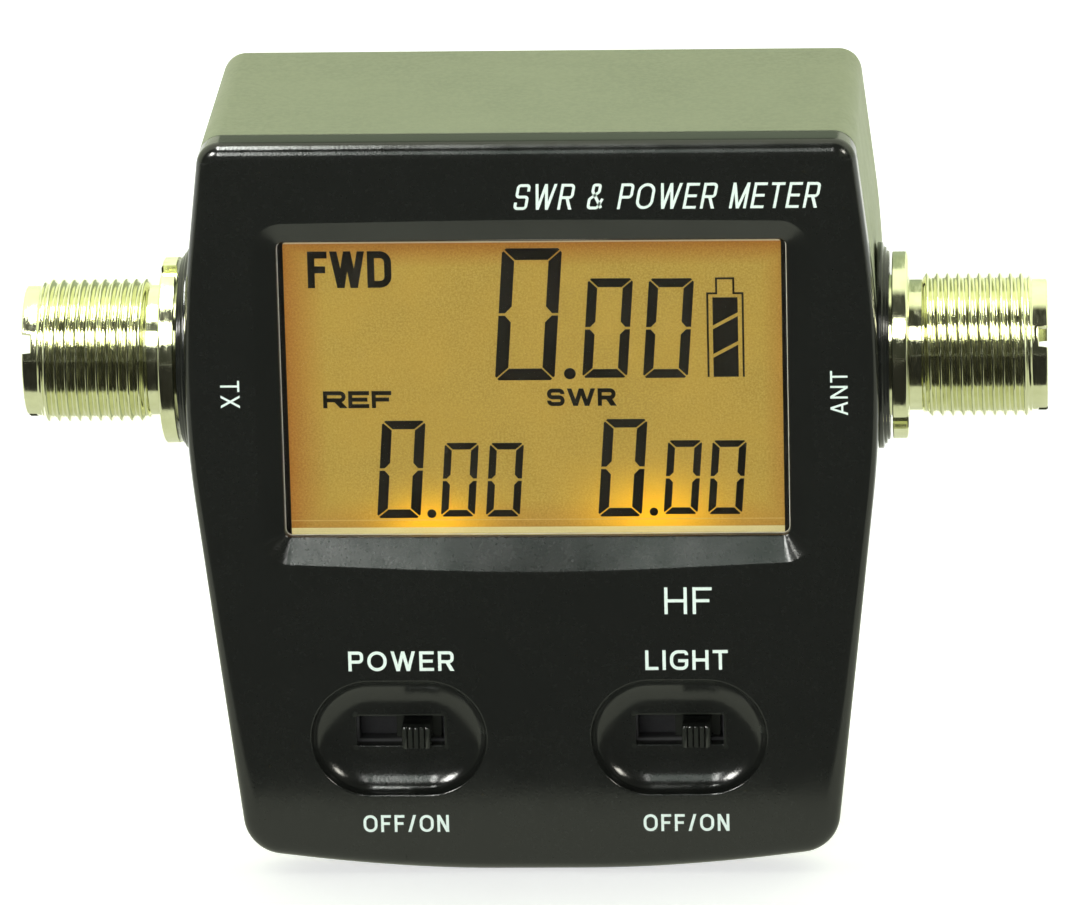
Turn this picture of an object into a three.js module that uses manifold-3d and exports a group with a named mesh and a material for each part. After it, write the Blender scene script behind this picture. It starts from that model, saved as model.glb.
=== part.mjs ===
// Digital SWR meter with two 5/8-24 coaxial sockets, an amber display and two slide switches.
// Millimetres. +X is to the right seen from the front, -Y is the front, +Z is up.
// The origin is the centre of the case on the surface that it stands on.
import * as THREE from 'three';
import { mergeVertices } from 'three/addons/utils/BufferGeometryUtils.js';
import Module from 'manifold-3d';

const wasm = await Module();
wasm.setup();

// ---- driving dimensions ----
const GAP = 0.3;                 // clearance between pieces that touch
const HEIGHT = 84.2;
const DEPTH = 39;
const FRONT = -DEPTH / 2;
const BACK = DEPTH / 2;
const WALL = 2.2;

const WAIST_TIP = 38.8;          // half width where the two side tapers would meet
const WAIST_Z = 56.9;            // widest level, also the level of the sockets
const WAIST_RADIUS = 120;
const LOWER_TAPER = Math.tan(THREE.MathUtils.degToRad(6.3));
const UPPER_TAPER = Math.tan(THREE.MathUtils.degToRad(6.8));
const TOP_RADIUS = 2.6;
const BOTTOM_RADIUS = 4.5;
const SOLE = 10;                 // half width of the flat strip under the case
const BOTTOM_BOW = 215;          // radius of the bowed bottom edge
const FRONT_FILLET = 1.7;
const REAR_FILLET = 1.6;

const PANEL_BACK = FRONT + 2.4;  // rear face of the front plate
const SEAM = FRONT + 4.3;        // joint between front panel and rear housing
const LIP = { reach: 1.2, thickness: 0.8 };

const WINDOW_Z = 55.85;          // centre of the display
const WINDOW_X = 0.3;
const WINDOW = { width: 55.6, height: 33.9, bevel: 2.6, bevelDepth: 1.6 };

const SWITCH_X = 15.5;
const SWITCH_Z = 15.85;
const DISH = { width: 19.4, height: 13.3, depth: 2.6, wall: 4.0, floor: 1.4 };
const SLOT = { width: 9.8, height: 3.5 };
const SWITCH_TRAVEL = 3.8;

const SOCKET_Y = FRONT + 13.5;

const BOARD_FRONT = FRONT + 8.1;
const BOARD_BACK = BOARD_FRONT + 1.6;
const BOARD_SCREWS = [[-24, 32.5], [24, 32.5], [-20, 78.1], [20, 78.1]];
const CASE_SCREWS = [[-27.8, 9.5], [27.8, 9.5], [-30.9, 78.5], [30.9, 78.5]];
const POST_END = -5.3;           // front panel posts meet the housing tubes here
const BOARD_POST = { radius: 2.4, bore: 1.25 };
const CASE_POST = { radius: 2.7, bore: 1.6, blind: 3.5 };
const HOUSING_TUBE = { radius: 3, foot: 4, footDepth: 2, head: 2.9 };

const BAY = { half: 24.4, bottom: 14.6, top: 49, front: 5.9, wall: 1.6, ledge: 1.2 };
const CELL = { radius: 5.2, length: 44.4, pitch: 11.4, count: 3 };

// ---- materials ----
const blackPlastic = new THREE.MeshStandardMaterial({ color: 0x1d1e1b, roughness: 0.45, metalness: 0 });
const greyPlastic = new THREE.MeshStandardMaterial({ color: 0xa8b090, roughness: 0.6, metalness: 0 });
const nickel = new THREE.MeshStandardMaterial({ color: 0xc9c6ae, roughness: 0.22, metalness: 1 });
const brass = new THREE.MeshStandardMaterial({ color: 0xc8a45a, roughness: 0.3, metalness: 1 });
const steel = new THREE.MeshStandardMaterial({ color: 0x9a9c9e, roughness: 0.35, metalness: 1 });
const tinplate = new THREE.MeshStandardMaterial({ color: 0xb9bbbd, roughness: 0.3, metalness: 1 });
const ptfe = new THREE.MeshStandardMaterial({ color: 0xe9e6dc, roughness: 0.5, metalness: 0 });
const amber = new THREE.MeshStandardMaterial({ color: 0xae9444, roughness: 0.25, metalness: 0 });
const clear = new THREE.MeshStandardMaterial({ color: 0xdfe3de, roughness: 0.05, metalness: 0 });
const diffuser = new THREE.MeshStandardMaterial({ color: 0xf0ead8, roughness: 0.4, metalness: 0 });
const circuitBoard = new THREE.MeshStandardMaterial({ color: 0x1f5a34, roughness: 0.5, metalness: 0 });
const chipBlack = new THREE.MeshStandardMaterial({ color: 0x202022, roughness: 0.55, metalness: 0 });
const ferrite = new THREE.MeshStandardMaterial({ color: 0x3b3b3d, roughness: 0.7, metalness: 0 });
const rubber = new THREE.MeshStandardMaterial({ color: 0x6e5a62, roughness: 0.8, metalness: 0 });
const cellWrap = new THREE.MeshStandardMaterial({ color: 0x2c4a86, roughness: 0.35, metalness: 0.2 });

const model = new THREE.Group();

function addPiece(name, geometry, material, parent = model) {
  const mesh = new THREE.Mesh(geometry, material);
  mesh.name = name;
  parent.add(mesh);
}

// ---- geometry helpers ----
function solidOf(geometry) {
  const bare = geometry.clone();
  bare.deleteAttribute('normal');
  bare.deleteAttribute('uv');
  const merged = mergeVertices(bare, 1e-4);
  const corners = merged.index.array;
  const triangles = [];
  for (let i = 0; i < corners.length; i += 3) {
    const [a, b, c] = [corners[i], corners[i + 1], corners[i + 2]];
    if (a !== b && b !== c && c !== a) triangles.push(a, b, c);
  }
  return new wasm.Manifold(new wasm.Mesh({
    numProp: 3,
    vertProperties: Float32Array.from(merged.attributes.position.array),
    triVerts: Uint32Array.from(triangles),
  }));
}

function geometryOf(solid) {
  const mesh = solid.getMesh();
  const geometry = new THREE.BufferGeometry();
  geometry.setAttribute('position', new THREE.BufferAttribute(Float32Array.from(mesh.vertProperties), 3));
  geometry.setIndex(Array.from(mesh.triVerts));
  geometry.computeVertexNormals();
  return geometry;
}

function joined(base, pieces) {
  return pieces.reduce((solid, piece) => solid.add(solidOf(piece)), base);
}

function cutBy(base, pieces) {
  return pieces.reduce((solid, piece) => solid.subtract(solidOf(piece)), base);
}

function block([xMin, xMax], [yMin, yMax], [zMin, zMax]) {
  const geometry = new THREE.BoxGeometry(xMax - xMin, yMax - yMin, zMax - zMin);
  geometry.translate((xMin + xMax) / 2, (yMin + yMax) / 2, (zMin + zMax) / 2);
  return geometry;
}

// Extrudes an outline drawn in X and Z from front to back along Y.
function extrudeY(shape, front, back, curveSegments = 2) {
  const options = { depth: back - front, bevelEnabled: false, curveSegments };
  const geometry = new THREE.ExtrudeGeometry(shape, options);
  geometry.rotateX(Math.PI / 2);
  geometry.translate(0, back, 0);
  return geometry;
}

// The same with both ends rounded: each end is smaller than the middle by the bevel size.
function bevelledY(shape, front, back, { size, thickness, offset, segments }, curveSegments = 2) {
  const geometry = new THREE.ExtrudeGeometry(shape, {
    depth: back - front - 2 * thickness,
    bevelSize: size,
    bevelThickness: thickness,
    bevelOffset: offset,
    bevelSegments: segments,
    curveSegments,
  });
  geometry.rotateX(Math.PI / 2);
  geometry.translate(0, back - thickness, 0);
  return geometry;
}

function cylinderY(x, z, radius, front, back, sides = 16) {
  const geometry = new THREE.CylinderGeometry(radius, radius, back - front, sides);
  geometry.translate(x, (front + back) / 2, z);
  return geometry;
}

function cylinderX(y, z, radius, left, right, sides = 32) {
  const geometry = new THREE.CylinderGeometry(radius, radius, right - left, sides);
  geometry.rotateZ(-Math.PI / 2);
  geometry.translate((left + right) / 2, y, z);
  return geometry;
}

// Revolves [distance along the axis, radius] points about +X.
function turnedX(profile, sides) {
  const points = profile.map(([along, radius]) => new THREE.Vector2(radius, along));
  const geometry = new THREE.LatheGeometry(points, sides);
  geometry.rotateZ(-Math.PI / 2);
  return geometry;
}

// Revolves [y, radius] points about +Y.
function turnedY(profile, sides) {
  return new THREE.LatheGeometry(profile.map(([along, radius]) => new THREE.Vector2(radius, along)), sides);
}

// A closed convex outline whose corners are rounded, given anticlockwise as { x, z, radius }.
function roundedOutline(corners) {
  const shape = new THREE.Shape();
  corners.forEach((corner, i) => {
    const at = new THREE.Vector2(corner.x, corner.z);
    const last = corners.at(i - 1);
    const next = corners[(i + 1) % corners.length];
    const toLast = new THREE.Vector2(last.x, last.z).sub(at).normalize();
    const toNext = new THREE.Vector2(next.x, next.z).sub(at).normalize();
    const halfAngle = Math.acos(THREE.MathUtils.clamp(toLast.dot(toNext), -1, 1)) / 2;
    const reach = corner.radius / Math.tan(halfAngle);
    const start = at.clone().addScaledVector(toLast, reach);
    if (i === 0) shape.moveTo(start.x, start.y);
    else shape.lineTo(start.x, start.y);
    if (corner.radius === 0) return;
    const inward = toLast.clone().add(toNext).normalize();
    const centre = at.clone().addScaledVector(inward, corner.radius / Math.sin(halfAngle));
    const end = at.clone().addScaledVector(toNext, reach);
    const from = Math.atan2(start.y - centre.y, start.x - centre.x);
    const to = Math.atan2(end.y - centre.y, end.x - centre.x);
    shape.absarc(centre.x, centre.y, corner.radius, from, to, false);
  });
  shape.closePath();
  return shape;
}

function roundedRectangle(x, z, width, height, radius) {
  const [right, top] = [x + width / 2, z + height / 2];
  const [left, bottom] = [x - width / 2, z - height / 2];
  return roundedOutline([
    { x: right, z: bottom, radius },
    { x: right, z: top, radius },
    { x: left, z: top, radius },
    { x: left, z: bottom, radius },
  ]);
}

// ---- case outline ----
function halfWidth(z) {
  const taper = z < WAIST_Z ? LOWER_TAPER : UPPER_TAPER;
  return WAIST_TIP - Math.abs(z - WAIST_Z) * taper;
}

function bowHeight(x) {
  return (x * x - SOLE * SOLE) / (2 * BOTTOM_BOW);
}

function caseOutline(inset = 0) {
  const cornerX = halfWidth(bowHeight(halfWidth(0)));
  const right = [
    { x: SOLE, z: inset, radius: 0 },
    { x: (SOLE + cornerX) / 2, z: bowHeight((SOLE + cornerX) / 2) + inset, radius: 0 },
    { x: cornerX - inset, z: bowHeight(cornerX) + inset, radius: BOTTOM_RADIUS - inset },
    { x: WAIST_TIP - inset, z: WAIST_Z, radius: WAIST_RADIUS - inset },
    { x: halfWidth(HEIGHT) - inset, z: HEIGHT - inset, radius: Math.max(TOP_RADIUS - inset, 0.3) },
  ];
  const left = right.map((corner) => ({ ...corner, x: -corner.x })).reverse();
  return roundedOutline([...right, ...left]);
}

function filletedCase(front, back, fillet) {
  const bevel = { size: fillet, thickness: fillet, offset: -fillet, segments: 2 };
  return solidOf(bevelledY(caseOutline(), front, back, bevel));
}

const WIDE = [-100, 100];
const TALL = [-10, 100];

// ---- sockets ----
// Distances [from, to] are along X from the middle of the case; the rest are radii.
const BOSS = [37.75, 39.06];
const NUT = [BOSS[1] + GAP, 41.12];
const NUT_RADIUS = 10.35;
const NUT_SLOT = { width: 2.2, depth: 0.9 };
const SLOT_TURNS = { tx: -0.26, ant: 2.25 };
const SHELL = { shoulder: [33.3, 35.1], thread: [42.6, 54.1], mouth: 56.4, step: 46 };
const SHELL_RADIUS = { shoulder: 9, shank: 7.8, neck: 7.25, crest: 15.875 / 2, bore: 6.15, back: 4.3 };
const SPOT_FACE_RADIUS = 11.9;

function spotFaces() {
  return [
    cylinderX(SOCKET_Y, WAIST_Z, SPOT_FACE_RADIUS, BOSS[0] - GAP, 60),
    cylinderX(SOCKET_Y, WAIST_Z, SPOT_FACE_RADIUS, -60, -BOSS[0] + GAP),
  ];
}

function socketShell() {
  const { shoulder, thread, mouth, step } = SHELL;
  const radius = SHELL_RADIUS;
  return turnedX([
    [shoulder[0], radius.back], [shoulder[0], radius.shoulder], [shoulder[1], radius.shoulder],
    [shoulder[1], radius.shank], [NUT[1], radius.shank], [NUT[1], radius.neck],
    [thread[0], radius.neck], [thread[0], radius.crest], [thread[1], radius.crest],
    [thread[1] + 0.6, radius.neck], [mouth, radius.neck], [mouth, radius.bore],
    [step, radius.bore], [step, radius.back], [shoulder[0], radius.back],
  ], 28);
}

function socketInsulator() {
  const [tail, face, sink] = [32.5, 49.5, 47.2];
  const bore = 1.3;
  const clearOfContact = 3.1;
  const [rear, front] = [SHELL_RADIUS.back - GAP, SHELL_RADIUS.bore - GAP];
  return turnedX([
    [tail, bore], [tail, rear], [SHELL.step + GAP, rear], [SHELL.step + GAP, front], [face, front],
    [face, clearOfContact], [sink, clearOfContact], [sink, bore], [tail, bore],
  ], 20);
}

function socketContact() {
  const [tail, root, cup, end] = [31.5, 47.5, 48.5, 55];
  const [pin, bore, outer] = [1, 2, 2.8];
  return turnedX([
    [tail, 0], [tail, pin], [root, pin], [root, outer], [end, outer], [end, bore], [cup, bore], [cup, 0],
  ], 16);
}

function socketBoss() {
  const hole = SHELL_RADIUS.shank + GAP;
  const step = BOSS[0] + 0.95;
  return turnedX([
    [BOSS[0], hole], [BOSS[0], 11.4], [step, 11.4], [step, 10.5],
    [BOSS[1], 10.4], [BOSS[1], hole], [BOSS[0], hole],
  ], 32);
}

// A round nut with a chamfered outer edge and two spanner slots, the first turned from the top.
function socketNut(slotTurn) {
  const hole = SHELL_RADIUS.shank + GAP;
  const chamfer = 0.3;
  const ring = turnedX([
    [NUT[0], hole], [NUT[0], NUT_RADIUS], [NUT[1] - chamfer, NUT_RADIUS], [NUT[1], NUT_RADIUS - chamfer],
    [NUT[1], hole], [NUT[0], hole],
  ], 36);
  const half = NUT_SLOT.width / 2;
  const slots = [slotTurn, slotTurn + Math.PI].map((turn) => block(
    [NUT[0] - 1, NUT[1] + 1], [-half, half], [NUT_RADIUS - NUT_SLOT.depth, NUT_RADIUS + 1]).rotateX(turn));
  return geometryOf(cutBy(solidOf(ring), slots));
}

function addSocket(name, side) {
  const group = new THREE.Group();
  group.position.set(0, SOCKET_Y, WAIST_Z);
  group.rotation.z = side > 0 ? 0 : Math.PI;
  model.add(group);
  addPiece(`${name}_socket_shell`, socketShell(), nickel, group);
  addPiece(`${name}_socket_insulator`, socketInsulator(), ptfe, group);
  addPiece(`${name}_socket_contact`, socketContact(), brass, group);
  addPiece(`${name}_socket_boss`, socketBoss(), blackPlastic, group);
  addPiece(`${name}_socket_nut`, socketNut(SLOT_TURNS[name]), nickel, group);
}

// ---- front panel ----
function dishCutter(x) {
  const inner = roundedRectangle(
    x, SWITCH_Z, DISH.width - 2 * DISH.wall, DISH.height - 2 * DISH.wall, DISH.height / 2 - DISH.wall - 0.01);
  const bevel = { size: DISH.wall, thickness: DISH.depth, offset: 0, segments: 4 };
  return bevelledY(inner, FRONT - DISH.depth - 1, FRONT + DISH.depth, bevel, 4);
}

function slotCutter(x) {
  return block(
    [x - SLOT.width / 2, x + SLOT.width / 2], [FRONT, BOARD_FRONT],
    [SWITCH_Z - SLOT.height / 2, SWITCH_Z + SLOT.height / 2]);
}

function dishBacking(x) {
  const [width, height] = [DISH.width + 3, DISH.height + 3];
  const outline = roundedRectangle(x, SWITCH_Z, width, height, height / 2 - 0.01);
  return extrudeY(outline, PANEL_BACK - 0.5, FRONT + DISH.depth + DISH.floor, 4);
}

function windowCutters() {
  const { width, height, bevel, bevelDepth } = WINDOW;
  const opening = roundedRectangle(WINDOW_X, WINDOW_Z, width, height, 0.8);
  const slope = { size: bevel, thickness: bevelDepth, offset: 0, segments: 1 };
  return [
    bevelledY(opening, FRONT - bevelDepth - 1, FRONT + bevelDepth, slope),
    extrudeY(opening, FRONT, PANEL_BACK + 1),
  ];
}

function frontPanel() {
  const whole = filletedCase(FRONT, SEAM + 10, FRONT_FILLET);
  const plate = whole.intersect(solidOf(block(WIDE, [FRONT - 1, SEAM], TALL)));
  const lipEnd = SEAM + LIP.reach;
  const lip = extrudeY(caseOutline(WALL + GAP), PANEL_BACK - 0.5, lipEnd);
  const rimmed = cutBy(joined(plate, [lip]), [
    extrudeY(caseOutline(WALL + GAP + LIP.thickness), PANEL_BACK, lipEnd + 1),
  ]);
  const backed = joined(rimmed, [
    dishBacking(-SWITCH_X),
    dishBacking(SWITCH_X),
    ...BOARD_SCREWS.map(([x, z]) => cylinderY(x, z, BOARD_POST.radius, PANEL_BACK - 0.5, BOARD_FRONT - GAP)),
    ...CASE_SCREWS.map(([x, z]) => cylinderY(x, z, CASE_POST.radius, PANEL_BACK - 0.5, POST_END)),
  ]);
  return cutBy(backed, [
    ...windowCutters(),
    dishCutter(-SWITCH_X),
    dishCutter(SWITCH_X),
    slotCutter(-SWITCH_X),
    slotCutter(SWITCH_X),
    ...BOARD_SCREWS.map(([x, z]) => cylinderY(x, z, BOARD_POST.bore, PANEL_BACK, BOARD_FRONT, 12)),
    ...CASE_SCREWS.map(([x, z]) => cylinderY(x, z, CASE_POST.bore, PANEL_BACK + CASE_POST.blind, 0, 12)),
    cylinderX(SOCKET_Y, WAIST_Z, SHELL_RADIUS.shoulder + GAP, -SHELL.shoulder[1] - 1, SHELL.shoulder[1] + 1),
    ...spotFaces(),
  ]);
}

// ---- rear housing ----
const BAY_OUTER = BAY.ledge + 0.8;
const HEAD_SEAT = BACK - 3.1;

function bayBlock(grow, front, back) {
  return block(
    [-BAY.half - grow, BAY.half + grow], [front, back], [BAY.bottom - grow, BAY.top + grow]);
}

function rearHousing() {
  const whole = filletedCase(SEAM - 10, BACK, REAR_FILLET);
  const outer = whole.intersect(solidOf(block(WIDE, [SEAM + GAP, BACK + 1], TALL)));
  const hollow = cutBy(outer, [extrudeY(caseOutline(WALL), SEAM - 1, BACK - WALL)]);
  const { radius, foot, footDepth, head } = HOUSING_TUBE;
  const innerBack = BACK - WALL;
  const fitted = joined(hollow, [
    ...CASE_SCREWS.map(([x, z]) => cylinderY(x, z, radius, POST_END + GAP, innerBack + 0.5)),
    ...CASE_SCREWS.map(([x, z]) => cylinderY(x, z, foot, HEAD_SEAT - footDepth, innerBack + 0.5)),
    bayBlock(BAY_OUTER, BAY.front - BAY.wall, innerBack + 0.5),
  ]);
  const inner = solidOf(extrudeY(caseOutline(0.5), SEAM, BACK));
  const trimmed = hollow.add(fitted.intersect(inner));
  return cutBy(trimmed, [
    bayBlock(0, BAY.front, BACK + 1),
    bayBlock(BAY.ledge, innerBack, BACK + 1),
    ...CASE_SCREWS.map(([x, z]) => cylinderY(x, z, CASE_POST.bore, POST_END, BACK, 12)),
    ...CASE_SCREWS.map(([x, z]) => cylinderY(x, z, head, HEAD_SEAT, BACK + 1)),
    cylinderX(SOCKET_Y, WAIST_Z, SHELL_RADIUS.shank + GAP, -60, 60),
    ...spotFaces(),
  ]);
}

function batteryDoor() {
  const half = BAY.half + BAY.ledge - GAP;
  const [bottom, top] = [BAY.bottom - BAY.ledge + GAP, BAY.top + BAY.ledge - GAP];
  const outline = roundedRectangle(0, (bottom + top) / 2, 2 * half, top - bottom, 1);
  const plate = solidOf(extrudeY(outline, BACK - WALL + GAP, BACK));
  const grooves = [0, 1, 2, 3].map((i) => {
    const z = top - 4 - i * 1.8;
    return block([-6, 6], [BACK - 0.6, BACK + 1], [z - 0.4, z + 0.4]);
  });
  return cutBy(plate, grooves);
}

// ---- display ----
const CELL_GLASS = { half: 29, low: 37.9, high: 74, front: FRONT + 3.9, thickness: 1.8 };
const LAMPS_X = [-11.3, 13];

function addDisplay() {
  const { half, low, high, front } = CELL_GLASS;
  const behindGlass = front + CELL_GLASS.thickness + GAP;
  const guideBack = BOARD_FRONT - GAP;
  addPiece('display_window', block(
    [-half - 0.5, half + 0.5], [PANEL_BACK + GAP, front - GAP], [low - 0.5, high + 0.5]), clear);
  addPiece('lcd_glass', block([-half, half], [front, front + CELL_GLASS.thickness], [low, high]), amber);
  addPiece('light_guide', block(
    [1 - half, half - 1], [behindGlass, guideBack], [low + 1.7, high - 2]), diffuser);
  addPiece('elastomer_strip', block(
    [2 - half, half - 2], [behindGlass, guideBack], [high - 1.7, high - 0.1]), rubber);
  const rim = (grow) => [[-half - grow, half + grow], [low - grow, high + grow]];
  const [outer, inner] = [rim(1.3), rim(GAP)];
  const frame = cutBy(solidOf(block(outer[0], [front, guideBack], outer[1])), [
    block(inner[0], [front - 1, guideBack + 1], inner[1]),
  ]);
  addPiece('lcd_frame', geometryOf(frame), blackPlastic);
  LAMPS_X.forEach((x, i) => {
    addPiece(`backlight_led_${i + 1}`, block(
      [x - 1.6, x + 1.6], [behindGlass, guideBack], [low + 0.1, low + 1.4]), diffuser);
  });
}

// ---- boards ----
const COUPLER = { half: 22, low: 46.8, high: 67.8, back: 3, sheet: 0.35, lid: 0.5, lineHole: 2 };
const BEHIND_BOARD = BOARD_BACK + GAP;

function mainBoard() {
  const [low, shoulder, upper, high] = [9, 19, 73, 80.5];
  const [narrow, wide, head] = [24.5, 30.5, 24.8];
  const right = [
    [narrow, low], [narrow, shoulder], [wide, shoulder], [wide, upper], [head, upper], [head, high],
  ];
  const left = right.map(([x, z]) => [-x, z]).reverse();
  const shape = new THREE.Shape([...right, ...left].map(([x, z]) => new THREE.Vector2(x, z)));
  const holes = BOARD_SCREWS.map(
    ([x, z]) => cylinderY(x, z, BOARD_POST.bore, BOARD_FRONT - 1, BOARD_BACK + 1, 12));
  return cutBy(solidOf(extrudeY(shape, BOARD_FRONT, BOARD_BACK)), holes);
}

function addChip(name, xRange, zRange, height, material) {
  addPiece(name, block(xRange, [BEHIND_BOARD, BEHIND_BOARD + height], zRange), material);
}

function shieldBox() {
  const { half, low, high, back, sheet, lineHole } = COUPLER;
  return cutBy(solidOf(block([-half, half], [BEHIND_BOARD, back], [low, high])), [
    block([-half + sheet, half - sheet], [BEHIND_BOARD + sheet, back + 1], [low + sheet, high - sheet]),
    cylinderX(SOCKET_Y, WAIST_Z, lineHole, -30, 30, 16),
  ]);
}

// Each wave has a current transformer on the through line, a trimmer and a detector diode.
function addCouplerParts(wave, side) {
  const [coreX, partsX] = [side * 9, side * 15];
  const [coreHalf, coreBore, coreRadius] = [1, 1.4, 2.8];
  const toroid = turnedX([
    [-coreHalf, coreBore], [-coreHalf, coreRadius], [coreHalf, coreRadius], [coreHalf, coreBore],
    [-coreHalf, coreBore],
  ], 20);
  toroid.translate(coreX, SOCKET_Y, WAIST_Z);
  addPiece(`${wave}_toroid_core`, toroid, ferrite);
  addPiece(`${wave}_trimmer`, cylinderY(partsX, 62.5, 2.2, -2.6, 0.3, 12), ptfe);
  addPiece(`${wave}_detector_diode`, block(
    [partsX - 1.9, partsX + 1.9], [-1.6, 0.3], [50.5, 52.2]), chipBlack);
}

function addBoards() {
  addPiece('main_board', geometryOf(mainBoard()), circuitBoard);
  addChip('microcontroller', [-6, 6], [24, 36], 1.4, chipBlack);
  addChip('crystal', [9, 13.5], [28, 39], 1.8, tinplate);
  addChip('voltage_regulator', [-17, -10.5], [26, 30], 1.6, chipBlack);

  const { half, low, high, back, lid } = COUPLER;
  addPiece('shield_box', geometryOf(shieldBox()), tinplate);
  addPiece('shield_lid', block([-half, half], [back + GAP, back + GAP + lid], [low, high]), tinplate);
  addPiece('coupler_board', block(
    [1 - half, half - 1], [0.6, 2.2], [low + 1, high - 1]), circuitBoard);
  addPiece('through_line', cylinderX(SOCKET_Y, WAIST_Z, 0.9, -31.2, 31.2, 12), brass);
  addCouplerParts('forward', -1);
  addCouplerParts('reflected', 1);
}

// ---- switches ----
const SWITCH = { half: 6, tall: 3, frame: 0.5, back: 0.6 };
const SWITCH_HOLE = { half: 4.7, tall: 1.95, frameTall: 1.55 };
const KNOB = { half: 1.6, tall: 1.25, ribs: 4, groove: 0.32, grooveDepth: 0.35 };
const SLIDER_FOOT = { half: 2.5, tall: 1.65 };

function addSwitch(name, x) {
  const frameFront = FRONT + DISH.depth + DISH.floor + GAP;
  const frameBack = frameFront + SWITCH.frame;
  const bodyFront = frameBack + GAP;
  const bodyBack = BOARD_FRONT - GAP;
  const wide = (half, centre = x) => [centre - half, centre + half];
  const tall = (half) => [SWITCH_Z - half, SWITCH_Z + half];

  const body = cutBy(solidOf(block(wide(SWITCH.half), [bodyFront, bodyBack], tall(SWITCH.tall))), [
    block(wide(SWITCH_HOLE.half), [bodyFront - 1, bodyBack - SWITCH.back], tall(SWITCH_HOLE.tall)),
  ]);
  addPiece(`${name}_switch_body`, geometryOf(body), chipBlack);

  const frame = cutBy(solidOf(block(wide(SWITCH.half), [frameFront, frameBack], tall(SWITCH.tall))), [
    block(wide(SWITCH_HOLE.half), [frameFront - 1, frameBack + 1], tall(SWITCH_HOLE.frameTall)),
  ]);
  addPiece(`${name}_switch_frame`, geometryOf(frame), tinplate);

  const rest = x + SWITCH_TRAVEL / 2;
  const footBack = bodyBack - SWITCH.back - GAP;
  const foot = block(wide(SLIDER_FOOT.half, rest), [bodyFront, footBack], tall(SLIDER_FOOT.tall));
  const knob = block(wide(KNOB.half, rest), [FRONT, bodyFront + 0.3], tall(KNOB.tall));
  const grooves = Array.from({ length: KNOB.ribs - 1 }, (_, i) => {
    const centre = rest - KNOB.half + ((i + 1) * 2 * KNOB.half) / KNOB.ribs;
    return block(wide(KNOB.groove / 2, centre), [FRONT - 1, FRONT + KNOB.grooveDepth], tall(2));
  });
  addPiece(`${name}_switch_slider`, geometryOf(cutBy(joined(solidOf(foot), [knob]), grooves)), blackPlastic);
}

// ---- screws ----
function screw(tip, seat, radius, headRadius, headHeight) {
  return turnedY([
    [tip, 0], [tip + radius, radius], [seat, radius], [seat, headRadius],
    [seat + headHeight * 0.7, headRadius], [seat + headHeight, headRadius * 0.7], [seat + headHeight, 0],
  ], 12);
}

function addScrews(name, places, geometry) {
  places.forEach(([x, z], i) => {
    addPiece(`${name}_${i + 1}`, geometry.clone().translate(x, 0, z), steel);
  });
}

// ---- batteries ----
function addBatteries() {
  const y = BAY.front + 0.5 + CELL.radius;
  const nub = { radius: 1.9, height: 0.8 };
  const middle = (BAY.bottom + BAY.top) / 2;
  const half = CELL.length / 2;
  const cell = [
    [-half, 0], [-half, CELL.radius], [half - nub.height, CELL.radius],
    [half - nub.height, nub.radius], [half, nub.radius], [half, 0],
  ];
  for (let i = 0; i < CELL.count; i += 1) {
    const group = new THREE.Group();
    group.position.set(0, y, middle + (i - 1) * CELL.pitch);
    group.rotation.z = i % 2 === 0 ? 0 : Math.PI;
    model.add(group);
    addPiece(`battery_cell_${i + 1}`, turnedX(cell, 16), cellWrap, group);
  }
  [['left', -1], ['right', 1]].forEach(([name, side]) => {
    const x = side * (BAY.half - 1.35);
    const contact = block([x - 0.25, x + 0.25], [y - 4.8, y + 4.8], [BAY.bottom + 0.6, BAY.top - 0.6]);
    addPiece(`battery_contact_${name}`, contact, tinplate);
  });
}

addPiece('front_panel', geometryOf(frontPanel()), blackPlastic);
addPiece('rear_housing', geometryOf(rearHousing()), greyPlastic);
addPiece('battery_door', geometryOf(batteryDoor()), greyPlastic);
addDisplay();
addBoards();
addSwitch('power', -SWITCH_X);
addSwitch('light', SWITCH_X);
addSocket('tx', -1);
addSocket('ant', 1);
addBatteries();
addScrews('board_screw', BOARD_SCREWS, screw(BOARD_FRONT - 3.6, BOARD_BACK + GAP, 0.95, 2.1, 1.2));
addScrews('case_screw', CASE_SCREWS, screw(PANEL_BACK + 4.2, HEAD_SEAT + GAP, 1.3, 2.6, 2));

export default model;
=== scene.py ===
import math

import bmesh
import bpy
from mathutils import Matrix, Vector


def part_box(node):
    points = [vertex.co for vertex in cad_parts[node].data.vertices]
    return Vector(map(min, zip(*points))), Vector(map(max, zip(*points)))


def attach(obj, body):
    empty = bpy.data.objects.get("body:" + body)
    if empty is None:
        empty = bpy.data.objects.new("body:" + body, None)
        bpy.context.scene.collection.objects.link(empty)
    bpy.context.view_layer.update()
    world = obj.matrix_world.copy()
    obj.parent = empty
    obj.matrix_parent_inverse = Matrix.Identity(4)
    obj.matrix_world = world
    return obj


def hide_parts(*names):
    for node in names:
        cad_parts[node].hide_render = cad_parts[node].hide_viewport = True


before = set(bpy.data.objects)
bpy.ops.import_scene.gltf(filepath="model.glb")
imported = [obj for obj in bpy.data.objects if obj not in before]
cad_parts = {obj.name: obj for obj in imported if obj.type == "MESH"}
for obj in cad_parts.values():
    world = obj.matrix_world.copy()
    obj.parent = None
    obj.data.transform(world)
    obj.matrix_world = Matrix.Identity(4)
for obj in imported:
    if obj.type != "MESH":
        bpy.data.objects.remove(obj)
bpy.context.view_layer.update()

# Lengths below are in millimetres. +X is to the right, -Y is the front, +Z is up.
MM = 0.001


def cad(node):
    """Lowest and highest corner of a CAD node, in millimetres."""
    low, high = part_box(node)
    return low / MM, high / MM


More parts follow.
